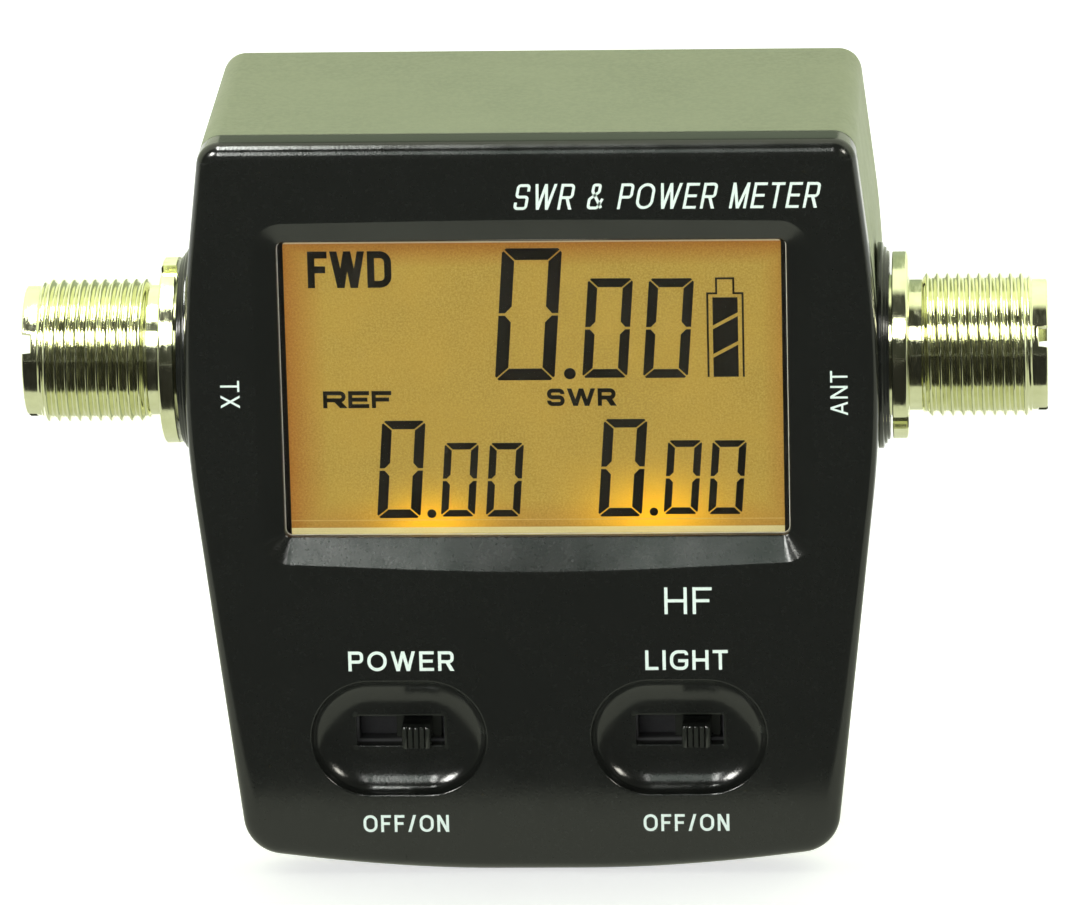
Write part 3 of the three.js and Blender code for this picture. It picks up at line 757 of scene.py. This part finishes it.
def thread_radius(x, angle):
    """The radius of the screw thread, faded into the neck at both ends."""
    phase = ((x - THREAD["start"]) / THREAD["pitch"] - angle / math.tau) % 1.0
    ridge = 0.5 - 0.5 * math.cos(math.tau * phase)
    radius = THREAD["root"] + (THREAD["crest"] - THREAD["root"]) * ridge
    fade_in = NECK + (x - THREAD["start"]) * THREAD["fade_in"]
    fade_out = NECK + (RING_START - x) * THREAD["fade_out"]
    return min(radius, fade_in, fade_out)


def near_any(angle, centres, reach):
    """Whether an angle is within reach of one of the centres."""
    return any(abs((angle - centre + math.pi) % math.tau - math.pi) < reach for centre in centres)


def notched_angles(count, notches, half_turn, blend):
    """Evenly spaced angles with extra ones on both sides of each notch's walls."""
    angles = [math.tau * k / count for k in range(count)]
    for notch in notches:
        for wall in (notch - half_turn, notch + half_turn):
            angles = [a for a in angles if not near_any(a, [wall], blend * 1.5)]
            angles += [(wall - blend / 2) % math.tau, (wall + blend / 2) % math.tau]
    return sorted(angles)


def around(side, x, radius, angle):
    """A point about the axis of the socket on one side."""
    return (side * x, SOCKET_Y - radius * math.sin(angle), SOCKET_Z + radius * math.cos(angle))


def socket_shell(name, side):
    notches = [math.radians(66 + 90 * k) for k in range(4)]
    notch_half, notch_depth = math.radians(9), 0.95
    angles = notched_angles(72, notches, notch_half, math.radians(0.8))

    def rim(angle):
        return shell_high.x - (notch_depth if near_any(angle, notches, notch_half) else 0.0)

    def points(place_x, radius):
        """A ring's points; place_x and radius are numbers, or functions of the angle."""
        for angle in angles:
            x = place_x(angle) if callable(place_x) else place_x
            r = radius(x, angle) if callable(radius) else radius
            yield around(side, x, r, angle)

    back_bore, bore, bore_end, flange_end = 4.3, 6.15, 46, 35.1
    flange = [(shell_low.x, back_bore), (shell_low.x, SHOULDER - 0.2), (shell_low.x + 0.2, SHOULDER),
              (flange_end, SHOULDER), (flange_end, SHANK), (nut_high.x - 0.15, SHANK),
              (nut_high.x + 0.1, SHANK - 0.2), (nut_high.x + 0.12, NECK)]
    steps = 170
    thread = [(THREAD["start"] + (RING_START - THREAD["start"]) * k / steps, thread_radius)
              for k in range(steps + 1)]
    mouth = [(RING_START + 0.1, NECK), (lambda a: rim(a) - 0.18, NECK), (rim, NECK - 0.16),
             (rim, bore + 0.15), (lambda a: rim(a) - 0.15, bore), (bore_end, bore), (bore_end, back_bore)]
    shell = Shell()
    rings = [shell.ring(points(x, radius)) for x, radius in flange + thread + mouth]
    shell.loft(rings + [rings[0]])
    shell.stand_for(f"{name}_socket_shell", "threaded", "nickel_plating", sharp=55)


def turned_piece(node, side, points, slot, count=64):
    """A revolved socket part from [distance from the middle of the case, radius] points."""
    shell = Shell()
    shell.turned([(side * x, r) for x, r in points], count, (0, SOCKET_Y, SOCKET_Z), "X")
    shell.stand_for(node, "turned", slot)


def socket_insulator(name, side):
    """The white insulator, with a groove in its outer face."""
    face, bore, stem, disc = cad("ant_socket_insulator")[1].x, 1.3, 4, 5.85
    outside = profile((32.5, bore, 0, 0), (32.5, stem, 0.2, 2), (46.3, stem, 0, 0), (46.3, disc, 0, 0),
                      (face, disc, 0.35, 4), (face, 3.1, 0.2, 3), (47.2, 3.1, 0, 0), (47.2, bore, 0, 0))
    groove = [(face, 5.4), (face, 5.0), (face - 0.25, 4.85), (face - 0.25, 4.35), (face, 4.2), (face, 3.3)]
    outside = [(x, r) for x, r in outside if abs(x - face) > 1e-6 or r >= groove[0][1]]
    split = next(i for i, (x, r) in enumerate(outside) if r < groove[-1][1] and x > 40)
    turned_piece(f"{name}_socket_insulator", side, outside[:split] + groove + outside[split:],
                 "white_dielectric")


def socket_boss(name, side):
    """The black plastic ring under the nut, in two steps."""
    base, top = boss_low.x, boss_high.x
    points = profile((base, SHANK + GAP, 0, 0), (base, 11.4, 0.1, 2), (base + 0.62, 11.4, 0.22, 4),
                     (base + 0.7, 10.9, 0.08, 2), (base + 0.98, 10.85, 0.1, 3), (base + 1.0, 10.45, 0.06, 2),
                     (top, 10.4, 0.14, 3), (top, SHANK + GAP, 0, 0))
    turned_piece(f"{name}_socket_boss", side, points, "black_plastic", 96)


NUT_SLOT = {"depth": 0.9, "half_turn": math.radians(6.1)}
SLOT_ANGLES = {"tx": 0.26, "ant": 2.25}


def socket_nut(name, side):
    """A round nut with two spanner slots; its outer edges are chamfered."""
    slots = [SLOT_ANGLES[name], SLOT_ANGLES[name] + math.pi]
    half_turn = NUT_SLOT["half_turn"]
    outer = (nut_high.z - nut_low.z) / 2
    near, far = nut_low.x, nut_high.x
    bore = SHANK + GAP
    shell = Shell()
    rings = []
    for x, radius in ((near, bore), (near, outer - 0.12), (near + 0.12, outer), (far - 0.3, outer),
                      (far - 0.2, outer - 0.03), (far - 0.03, outer - 0.2), (far, outer - 0.3),
                      (far, bore + 0.25), (far - 0.22, bore)):
        sunk = min(radius, outer - NUT_SLOT["depth"])
        rings.append(shell.ring([around(side, x, sunk if near_any(a, slots, half_turn) else radius, a)
                                 for a in notched_angles(96, slots, half_turn, math.radians(0.5))]))
    shell.loft(rings + [rings[0]])
    shell.stand_for(f"{name}_socket_nut", "slotted", "nickel_plating", sharp=30)


def socket_contact(name, side):
    """The centre contact: a solder pin, then a sleeve sawn into four fingers."""
    outer, bore, pin = 2.8, 2.0, 1.0
    root, face = 50.3, contact_high.x
    back, cup = contact_low.x, 48.5
    size, slit = 12, math.radians(6)
    shell = Shell()
    fingers = []
    for quarter in range(4):
        start = quarter * math.pi / 2
        first, last = start + slit, start + math.pi / 2 - slit
        fingers.append([first + (last - first) * k / (size - 1) for k in range(size)])
    angles = sum(fingers, [])
    count = len(angles)

    def rings(*section, turns=angles):
        return [shell.ring([around(side, x, radius, a) for a in turns]) for x, radius in section]

    base = rings((back + 0.2, pin), (47.5, pin), (47.5, outer - 0.1), (47.6, outer), (root, outer))
    sleeve = rings((root, bore), (cup, bore))
    shell.loft(base)
    shell.loft(sleeve)
    pin_ring, = rings((back, pin - 0.2))
    shell.loft([pin_ring, base[0]])
    for border, tip in ((pin_ring, back), (sleeve[-1], cup - 0.5)):
        shell.cone(border, around(side, tip, 0, 0))
    for quarter in range(4):
        at = slice(quarter * size, (quarter + 1) * size)
        tips = rings((face - 0.25, outer), (face, outer - 0.2), (face, bore + 0.15), (face - 0.2, bore),
                     turns=fingers[quarter])
        columns = [base[-1][at], *tips, sleeve[0][at]]
        shell.loft(columns, closed=False)
        for end in (0, -1):
            shell.cap([column[end] for column in columns])
        last = quarter * size + size - 1
        following = (last + 1) % count
        shell.cap([base[-1][last], base[-1][following], sleeve[0][following], sleeve[0][last]])
    shell.stand_for(f"{name}_socket_contact", "slotted", "contact_brass")


def add_socket(name, side):
    socket_shell(name, side)
    socket_insulator(name, side)
    socket_boss(name, side)
    socket_nut(name, side)
    socket_contact(name, side)


# ---- switches ----
def slider_knob(name):
    """The ribbed thumb piece of a slide switch, on a flat foot behind the panel."""
    low, high = cad(f"{name}_switch_slider")
    x, z = (low.x + high.x) / 2, (low.z + high.z) / 2
    half_wide, half_tall = 1.6, 1.25
    foot_front = cad("power_switch_frame")[1].y + GAP
    ribs, groove = 5, 0.35
    pitch = 2 * half_wide / ribs
    start, end = x - half_wide, x + half_wide
    section = [(start, foot_front + 0.1), (start, low.y + groove)]
    for i in range(ribs):
        left, right = start + i * pitch, start + (i + 1) * pitch
        section += [(left + 0.1, low.y + 0.05), (left + 0.2, low.y), (right - 0.2, low.y),
                    (right - 0.1, low.y + 0.05), (right, low.y + groove)]
    section.append((end, foot_front + 0.1))
    shell = Shell()
    outlines = []
    round_off = 0.12
    for height, shrink in ((-half_tall, round_off), (round_off - half_tall, 0),
                           (half_tall - round_off, 0), (half_tall, round_off)):
        narrow = 1 - shrink / half_wide
        outlines.append([(x + (px - x) * narrow, py + shrink * (py < low.y + 1), z + height)
                         for px, py in section])
    shell.solid(outlines)
    knob = shell.placed(f"{name}_slider_knob")
    foot = Shell()
    outline = rounded_rectangle(x, z, high.x - low.x, high.z - low.z, 0.3, 4)
    foot.solid([level(outline, y) for y in (foot_front, high.y)])
    carve(knob, foot, "UNION")
    settle(knob, "black_plastic", f"{name}_slider", [f"{name}_switch_slider"])


# ---- screws and batteries ----
def cross(x, z, arm, half, y):
    corners = [(half, -arm), (half, -half), (arm, -half), (arm, half), (half, half), (half, arm)]
    corners += [(-u, -v) for u, v in corners]
    return [(x + u, y, z + v) for u, v in corners]


def case_screw(number, x, z):
    low, high = cad(f"case_screw_{number}")
    seat, top, shank, head, dome = high.y - 2.0, high.y, 1.25, 2.6, 0.75
    shell = Shell()
    section = [(low.y + 1.2, 1.2), (seat, shank), (seat, head - 0.15), (seat + 0.15, head),
               (seat + 1.0, head)]
    section += [(seat + 1.0 + (top - seat - 1.0) * math.sin(t), head - dome * (1 - math.cos(t)))
                for t in quarter_turn(5)[1:]]
    rings = [shell.ring(level(circle(x, z, radius, 40), y)) for y, radius in section]
    shell.loft(rings)
    shell.cone(rings[0], (x, low.y, z))
    recess = [shell.ring(cross(x, z, arm, half, top - depth))
              for arm, half, depth in ((1.35, 0.3, 0), (1.1, 0.26, 0.7), (0.35, 0.2, 1.2))]
    shell.loft(recess)
    shell.fill(recess[-1])
    shell.fill(rings[-1], recess[0])
    shell.stand_for(f"case_screw_{number}", "cross_head", "screw_steel", sharp=28)


def battery_cell(number):
    """A cylindrical cell: rolled sleeve edges, a raised positive nub."""
    low, high = cad(f"battery_cell_{number}")
    side = 1 if number % 2 else -1
    radius = (high.z - low.z) / 2
    half = (high.x - low.x) / 2
    centre = (0, (low.y + high.y) / 2, (low.z + high.z) / 2)
    section = profile((-half, 0, 0, 0), (-half, 3.4, 0.1, 2), (-half + 0.25, 3.5, 0, 0),
                      (-half + 0.1, 4.0, 0.1, 2), (-half + 0.1, radius, 0.45, 5),
                      (half - 0.8, radius, 0.45, 5), (half - 0.8, 4.2, 0.1, 2), (half - 1.0, 3.9, 0, 0),
                      (half - 0.95, 2.2, 0.1, 2), (half - 0.6, 1.9, 0.1, 2), (half, 1.85, 0.25, 4),
                      (half, 0, 0, 0))
    section[0] = (section[0][0], 0)
    section[-1] = (section[-1][0], 0)
    shell = Shell()
    shell.turned([(side * along, max(r, 0)) for along, r in section], 56, centre, "X")
    shell.stand_for(f"battery_cell_{number}", "sleeved", "cell_wrap")


# ---- lettering ----
def legs(*points):
    """Straight strokes from each point to the next."""
    return [list(pair) for pair in zip(points, points[1:])]


# A letter is its width, as a share of its height, and its strokes. A stroke is a list of (u, v) or
# (u, v, corner radius) in a box of 1 by 1, and it closes if it ends where it starts.
BOWL = [(0, 0.46), (1, 0.46, 0.27), (1, 1, 0.27), (0, 1)]
LETTERS = {
    "A": (0.86, [[(0, 0), (0.5, 1)], [(1, 0), (0.5, 1)], [(0.2, 0.3), (0.8, 0.3)]]),
    "D": (0.86, [[(0, 0), (1, 0, 0.48), (1, 1, 0.48), (0, 1), (0, 0)]]),
    "E": (0.74, [[(1, 0), (0, 0), (0, 1), (1, 1)], [(0, 0.5), (0.9, 0.5)]]),
    "F": (0.70, [[(0, 0), (0, 1), (1, 1)], [(0, 0.5), (0.85, 0.5)]]),
    "G": (0.92, [[(1, 0.8), (1, 1, 0.19), (0, 1, 0.48), (0, 0, 0.48), (1, 0, 0.3), (1, 0.46), (0.55, 0.46)]]),
    "H": (0.82, [[(0, 0), (0, 1)], [(1, 0), (1, 1)], [(0, 0.5), (1, 0.5)]]),
    "I": (0.0, [[(0, 0), (0, 1)]]),
    "L": (0.66, [[(0, 1), (0, 0), (1, 0)]]),
    "M": (0.96, legs((0, 0), (0, 1), (0.5, 0), (1, 1)) + [[(1, 0), (1, 1)]]),
    "N": (0.82, legs((0, 0), (0, 1), (1, 0), (1, 1))),
    "O": (0.98, [[(0, 0, 0.5), (1, 0, 0.5), (1, 1, 0.5), (0, 1, 0.5), (0, 0)]]),
    "P": (0.76, [[(0, 0), (0, 1)], BOWL]),
    "R": (0.80, [[(0, 0), (0, 1)], BOWL, [(0.5, 0.46), (1, 0)]]),
    "S": (0.78, [[(1, 0.74), (1, 1, 0.25), (0, 1, 0.25), (0, 0.5, 0.25), (1, 0.5, 0.25), (1, 0, 0.25),
                  (0, 0, 0.25), (0, 0.26)]]),
    "T": (0.76, [[(0, 1), (1, 1)], [(0.5, 0), (0.5, 1)]]),
    "W": (1.24, legs((0, 1), (0.26, 0), (0.5, 1), (0.74, 0), (1, 1))),
    "X": (0.84, [[(0, 1), (1, 0)], [(0, 0), (1, 1)]]),
    "/": (0.56, [[(0, 0), (1, 1)]]),
    "&": (0.90, [[(1, 0), (0.16, 0.72, 0.1), (0.16, 1, 0.14), (0.66, 1, 0.14), (0.66, 0.7, 0.12),
                  (0, 0.38, 0.12), (0, 0, 0.2), (0.7, 0, 0.2), (1, 0.4)]]),
    " ": (0.36, []),
}
# Each stroke of a letter stands this much further out than the one before it.
LAYER = 0.004


def stroke_sides(stroke, origin, width, height, thick):
    """The two edges of a stroke's ribbon in millimetres, and whether the stroke closes."""
    closed = stroke[0][:2] == stroke[-1][:2]
    inner_w, inner_h = width - thick, height - thick
    corners = []
    for u, v, *rounding in stroke[:-1] if closed else stroke:
        radius = (rounding or [0])[0] * (min(inner_w, inner_h) if inner_w else inner_h)
        corners.append((origin + thick / 2 + u * inner_w, thick / 2 + v * inner_h, radius * 0.999, 8))
    if len(corners) == 2 and corners[0][0] != corners[1][0] and corners[0][1] != corners[1][1]:
        (u0, v0, *_), (u1, v1, *_) = sorted(corners, key=lambda corner: corner[1])
        across = thick / 2 * math.hypot(u1 - u0, v1 - v0) / (v1 - v0)
        ends = ((u0, v0 - thick / 2), (u1, v1 + thick / 2))
        return [(u - across, v) for u, v in ends], [(u + across, v) for u, v in ends], False
    path = soften(corners, closed)
    if not closed:
        for end, beside in ((0, 1), (-1, -2)):
            if corners[beside][2] == 0:
                reach = (path[end][0] - path[beside][0]).normalized() * thick / 2
                path[end] = (path[end][0] + reach, path[end][1])
    return ([tuple(p + n * thick / 2) for p, n in path], [tuple(p - n * thick / 2) for p, n in path], closed)


def write(shell, text, x, z, width, height, depths, thick, turn=0.0, shear=0.0, spacing=0.2):
    """Adds text that fills width by height about (x, z), as raised strokes between two depths."""
    gap = spacing * height
    natural = sum(LETTERS[letter][0] for letter in text) * height
    stems = sum(thick for letter in text if LETTERS[letter][0] == 0)
    stretch = (width - height * shear - gap * (len(text) - 1) - stems) / natural
    rotation = Matrix.Rotation(turn, 2)
    at = (height * shear - width) / 2
    for letter in text:
        share, strokes = LETTERS[letter]
        wide = share * height * stretch if share else thick
        for layer, stroke in enumerate(strokes):
            front = depths[0] - LAYER * layer
            left, right, closed = stroke_sides(stroke, at, wide, height, thick)
            stations = []
            for edges in zip(left, right):
                a, b = [rotation @ Vector((u + (v - height / 2) * shear, v - height / 2)) for u, v in edges]
                stations.append(shell.ring([(x + c.x, y, z + c.y) for c, y in (
                    (a, front), (b, front), (b, depths[1]), (a, depths[1]))]))
            shell.loft(stations + stations[:1] if closed else stations)
            if not closed:
                shell.cap(stations[0])
                shell.cap(stations[-1])
        at += wide + gap


LEGEND_HEIGHT = 0.03


def panel_legends():
    shell = Shell()
    depths = (FRONT - LEGEND_HEIGHT, FRONT + 0.01)
    write(shell, "SWR & POWER METER", 15.34, 78.24, 33.5, 2.9, depths, 0.31, shear=0.2, spacing=0.16)
    write(shell, "HF", 16.79, 31.87, 5.22, 3.11, depths, 0.36)
    write(shell, "POWER", -15.01, 24.97, 11.66, 2.3, depths, 0.36)
    write(shell, "LIGHT", 16.5, 24.96, 9.1, 2.3, depths, 0.36)
    for x in (-14.96, 16.16):
        write(shell, "OFF/ON", x, 5.86, 9.5, 2.0, depths, 0.31)
    write(shell, "TX", -32.88, 55.99, 3.11, 2.09, depths, 0.23, turn=-math.pi / 2)
    write(shell, "ANT", 33.66, 55.73, 5.05, 1.9, depths, 0.23, turn=math.pi / 2)
    shell.piece("panel_legends", "legend_ink", sharp=30)


# ---- what the display shows ----
INK = 0.05
SLANT = math.tan(math.radians(4.4))


def zero(shell, x, z, width, height, across, along, front):
    """A 0 of six mitred segments, leaning to the right; across and along are its stroke widths."""
    gap, middle = 0.09, 0.14
    half_w, half_h = (width - height * SLANT) / 2, height / 2
    cut = 0.24 * across
    end = half_w - gap
    slab = [(cut - end, half_h), (end - cut, half_h), (end - cut / 2, half_h - cut / 2),
            (end - across, half_h - along), (across - end, half_h - along), (cut / 2 - end, half_h - cut / 2)]
    top = half_h - gap - 0.05
    upright = [(-half_w, top - cut), (cut / 2 - half_w, top - cut / 2), (across - half_w, top - along),
               (across - half_w, middle + 0.55 * across), (0.5 * across - half_w, middle), (-half_w, middle)]
    for flip_x, flip_z, corners in ((1, 1, slab), (1, -1, slab), (1, 1, upright), (-1, 1, upright),
                                    (1, -1, upright), (-1, -1, upright)):
        points = [(flip_x * u, flip_z * v) for u, v in corners]
        shell.prism([(x + u + v * SLANT, z + v) for u, v in points], front, front + INK)


def display_digits():
    front = glass_low.y - INK - 0.02
    shell = Shell()
    sizes = {
        "large": (7.7, 15.09, 1.4, 1.34), "medium": (5.8, 11.37, 1.08, 1.0),
        "lower": (5.65, 11.25, 1.12, 0.98), "small": (4.4, 8.52, 0.82, 0.76),
    }
    for x, z, size in ((-0.22, 63.79, "large"), (8.41, 62.16, "medium"), (15.06, 62.11, "medium"),
                       (-14.62, 46.04, "lower"), (-8.21, 44.81, "small"), (-3.25, 44.78, "small"),
                       (9.76, 46.09, "lower"), (16.33, 44.96, "small"), (21.22, 44.93, "small")):
        zero(shell, x, z, *sizes[size], front)
    for x, z, radius in ((4.17, 56.97, 0.65), (-11.4, 40.89, 0.5), (13.07, 40.98, 0.47)):
        shell.solid([level(circle(x, z, radius, 24), y) for y in (front, front + INK)])
    shell.piece("display_digits", "lcd_ink")


def display_words():
    shell = Shell()
    depths = (glass_low.y - INK - 0.02, glass_low.y - 0.02)
    write(shell, "FWD", -19.67, 69.04, 9.18, 4.17, depths, 0.78, spacing=0.07)
    write(shell, "REF", -19.24, 54.13, 7.53, 1.95, depths, 0.46, spacing=0.14)
    write(shell, "SWR", 5.37, 54.26, 7.53, 2.0, depths, 0.46, spacing=0.14)
    shell.piece("display_words", "lcd_ink")


def display_battery():
    """The battery symbol: an outline with a cap, open below, and three bars between two slanting gaps."""
    shell = Shell()
    x, z, width, height = 21.28, 62.18, 4.07, 11.36
    line, cap_wide, cap_tall, inset = 0.22, 2.1, 1.7, 0.66
    front = glass_low.y - INK - 0.02
    half, top, low = width / 2, z + height / 2, z - height / 2
    cap = cap_wide / 2
    shoulder = top - cap_tall

    def edge(inset):
        left = [(inset - half, low), (inset - half, shoulder - inset), (inset - cap, shoulder - inset),
                (inset - cap, top - inset)]
        return left + [(-u, v) for u, v in reversed(left)]

    shell.prism([(x + u, v) for u, v in edge(0) + edge(line)[::-1]], front, front + INK)
    bar = half - inset
    ceiling = shoulder - 2.6 * line
    rise, split = 1.5, 0.42
    cuts = [low + (ceiling - low) * share for share in (0.24, 0.6)]
    bottoms = [(low, low)] + [(cut + split, cut + split + rise) for cut in cuts]
    tops = [(cut, cut + rise) for cut in cuts] + [(ceiling, ceiling)]
    for (left_low, right_low), (left_top, right_top) in zip(bottoms, tops):
        shell.prism([(x - bar, left_low), (x + bar, right_low), (x + bar, right_top), (x - bar, left_top)],
                    front, front + INK)
    shell.piece("display_battery_symbol", "lcd_ink")


def display_mask():
    """The black printed border on the back of the window."""
    shell = Shell()
    border = box_ring(-26.9, 27.45, 38.3, 72.25, 0.3)
    outside = box_ring(window_low.x + 0.3, window_high.x - 0.3, window_low.z + 0.2, window_high.z - 0.2, 0.3)
    front = window_high.y + 0.02
    rings = shell.rings(level(outside, front), level(outside, front + INK))
    holes = shell.rings(level(border, front), level(border, front + INK))
    shell.loft(rings)
    shell.loft(holes)
    for edge, hole in zip(rings, holes):
        shell.fill(edge, hole)
    shell.piece("display_mask", "lcd_ink")


def window_edge_highlight():
    """A pale ring just inside the opening, a painted highlight: it stands in for the thin bright line the
    window's polished edge catches.
    """
    shell = Shell()
    back = FRONT + PLATE - 0.03
    outline = rounded_rectangle(WINDOW["x"], WINDOW["z"], WINDOW["width"], WINDOW["height"],
                                WINDOW_CORNER)
    rings = shell.rings(*[level(outline, y, inset) for inset, y in (
        (0.03, back - 0.1), (0.03, back), (0.1, back), (0.1, back - 0.1))])
    shell.loft(rings + rings[:1])
    # The pale diffuser colour here is a painted highlight, not the edge's own colour.
    shell.piece("window_edge_highlight", "diffuser")


def box_ring(left, right, low, high, radius):
    return rounded_rectangle((left + right) / 2, (low + high) / 2, right - left, high - low, radius, 4)


# ---- studio ----
CAMERA = {"azimuth": 3.367, "elevation": 18.178, "roll": 1.388, "distance": 959, "lens": 292.4}
AIM = Vector((0.9, FRONT, 49.1))


def toward(azimuth, elevation):
    """Unit vector from the object towards a place round it; azimuth 0 is straight in front."""
    a, e = math.radians(azimuth), math.radians(elevation)
    return Vector((math.sin(a) * math.cos(e), -math.cos(a) * math.cos(e), math.sin(e)))


def aimed(obj, at, position):
    obj.location = position * MM
    obj.rotation_euler = (at - position).to_track_quat("-Z", "Y").to_euler()


def add_camera():
    data = bpy.data.cameras.new("camera")
    data.lens = CAMERA["lens"]
    data.sensor_width = 36
    camera = place("camera", data)
    back = toward(CAMERA["azimuth"], CAMERA["elevation"])
    camera.location = (AIM + back * CAMERA["distance"]) * MM
    look = (-back).to_track_quat("-Z", "Y").to_matrix()
    roll = Matrix.Rotation(math.radians(-CAMERA["roll"]), 3, "Z")
    camera.rotation_euler = (look @ roll).to_euler()
    bpy.context.scene.camera = camera


def card(name, azimuth, elevation, distance, size, radiance, colour, glossy=True, diffuse=True, shift=0):
    """A soft light: size is (width, height) in millimetres, radiance its brightness seen from the object."""
    data = bpy.data.lights.new(name, "AREA")
    data.shape = "RECTANGLE"
    data.size, data.size_y = size[0] * MM, size[1] * MM
    data.energy = radiance * math.pi * data.size * data.size_y
    data.color = colour
    light = place(name, data)
    light.visible_glossy = glossy
    light.visible_diffuse = diffuse
    at = AIM + Vector((shift, 0, 0))
    aimed(light, at, at + toward(azimuth, elevation) * distance)


# The lamp overhead, from left to right: where each part ends along X, and its radiance.
OVERHEAD = [(-175, 0), (-102, 48), (-92, 5), (-82, 2.8), (-74, 1.5), (-60, 0.4)]


def add_lights():
    card("lamp_left", -43.5, 39, 700, (190, 190), 40, (1.0, 1.0, 0.94), diffuse=False)
    card("lamp_right", 54, 30, 700, (160, 150), 20, (1.0, 0.97, 0.86), diffuse=False)
    card("softbox", 0, 38, 620, (190, 240), 1.2, (0.78, 1.0, 0.86), shift=-75)
    for left, right, radiance in ((-165, -110, 26), (42, 75, 12)):
        card("socket_strip", 0, 39, 700, (right - left, 290), radiance, (1.0, 1.0, 0.96), diffuse=False,
             shift=(left + right) / 2)
    for (left, _), (right, radiance) in zip(OVERHEAD, OVERHEAD[1:]):
        card("overhead", 0, 86, 700, (right - left, 340), radiance, (0.96, 1.0, 0.94), diffuse=False,
             shift=(left + right) / 2)
    card("fill", -8, 12, 900, (500, 400), 5.4, (1.0, 1.0, 0.98), glossy=False)


def add_world():
    """White to the camera; reflections meet a pale room behind and a dark one in front."""
    world = bpy.data.worlds.new("studio")
    bpy.context.scene.world = world
    world.use_nodes = True
    sky = Tree(world.node_tree)
    direction = sky.add("ShaderNodeTexCoord").outputs["Generated"]
    split = sky.add("ShaderNodeSeparateXYZ", {"Vector": direction})
    wall = sky.mix(sky.spread(split.outputs["Z"], 0, 1, 0.3, 0.5), (1.1, 1.2, 0.88), (1.32, 1.4, 1.08))
    room = sky.mix(sky.spread(split.outputs["Y"], 0, 1, -0.16, 0.02), (0.035, 0.037, 0.03), wall)
    seen = sky.add("ShaderNodeLightPath").outputs["Is Camera Ray"]
    sky.tree.links.new(sky.mix(seen, room, (1.0, 1.0, 1.0)), sky.tree.nodes["Background"].inputs["Color"])


def stage_card(name, corners, material, only_glossy=True):
    """A flat piece of the studio; unless told otherwise only reflections see it."""
    shell = Shell()
    shell.cap(shell.ring(corners))
    obj = shell.placed(name)
    obj.data.materials.append(material)
    if only_glossy:
        obj.visible_camera = False
        obj.visible_diffuse = False
        obj.visible_shadow = False


def floor_corners(half, front, back, z):
    return [(-half, front, z), (half, front, z), (half, back, z), (-half, back, z)]


def glowing(name, colour):
    n = Nodes(name, Base_Color=(0, 0, 0, 1), Specular_IOR_Level=0.0, Emission_Strength=1.0)
    n.link(n.mix(n.noise(60, 2), colour, [0.94 * c for c in colour]), "Emission Color")
    return n.material


def add_floor():
    pale = Nodes("floor_paper", Roughness=0.9, Specular_IOR_Level=0.0)
    pale.base(pale.noise(40, 3), (0.84, 0.85, 0.9), (0.88, 0.89, 0.94))
    pale.shader.inputs["Emission Color"].default_value = (1, 1, 1, 1)
    pale.shader.inputs["Emission Strength"].default_value = 0.6
    stage_card("floor", floor_corners(3000, -3000, 3000, -0.05), pale.material, only_glossy=False)
    near = FRONT - 24
    stage_card("floor_far", floor_corners(1500, -2500, near, 0.4), glowing("dark_floor", (0.02, 0.02, 0.018)))
    stage_card("floor_near", floor_corners(1500, near, BACK + 40, 0.4),
               glowing("near_floor", (0.74, 0.78, 0.62)))
    stage_card("backdrop", [(x, BACK + 40, z) for x, z in ((-43, 60), (43, 60), (43, 165), (-43, 165))],
               glowing("backdrop", (0.42, 0.5, 0.34)))


# ---- the object ----
dress_cad_nodes()
front_panel()
rear_housing()
battery_door()
add_socket("tx", -1)
add_socket("ant", 1)
for switch in SWITCHES:
    slider_knob(switch)
for index, (screw_x, screw_z) in enumerate(screw_places("case_screw")):
    case_screw(index + 1, screw_x, screw_z)
for index in (1, 2, 3):
    battery_cell(index)
panel_legends()
display_digits()
display_words()
display_battery()
display_mask()
window_edge_highlight()

add_camera()
add_lights()
add_world()
add_floor()
bpy.context.scene.view_settings.view_transform = "Standard"
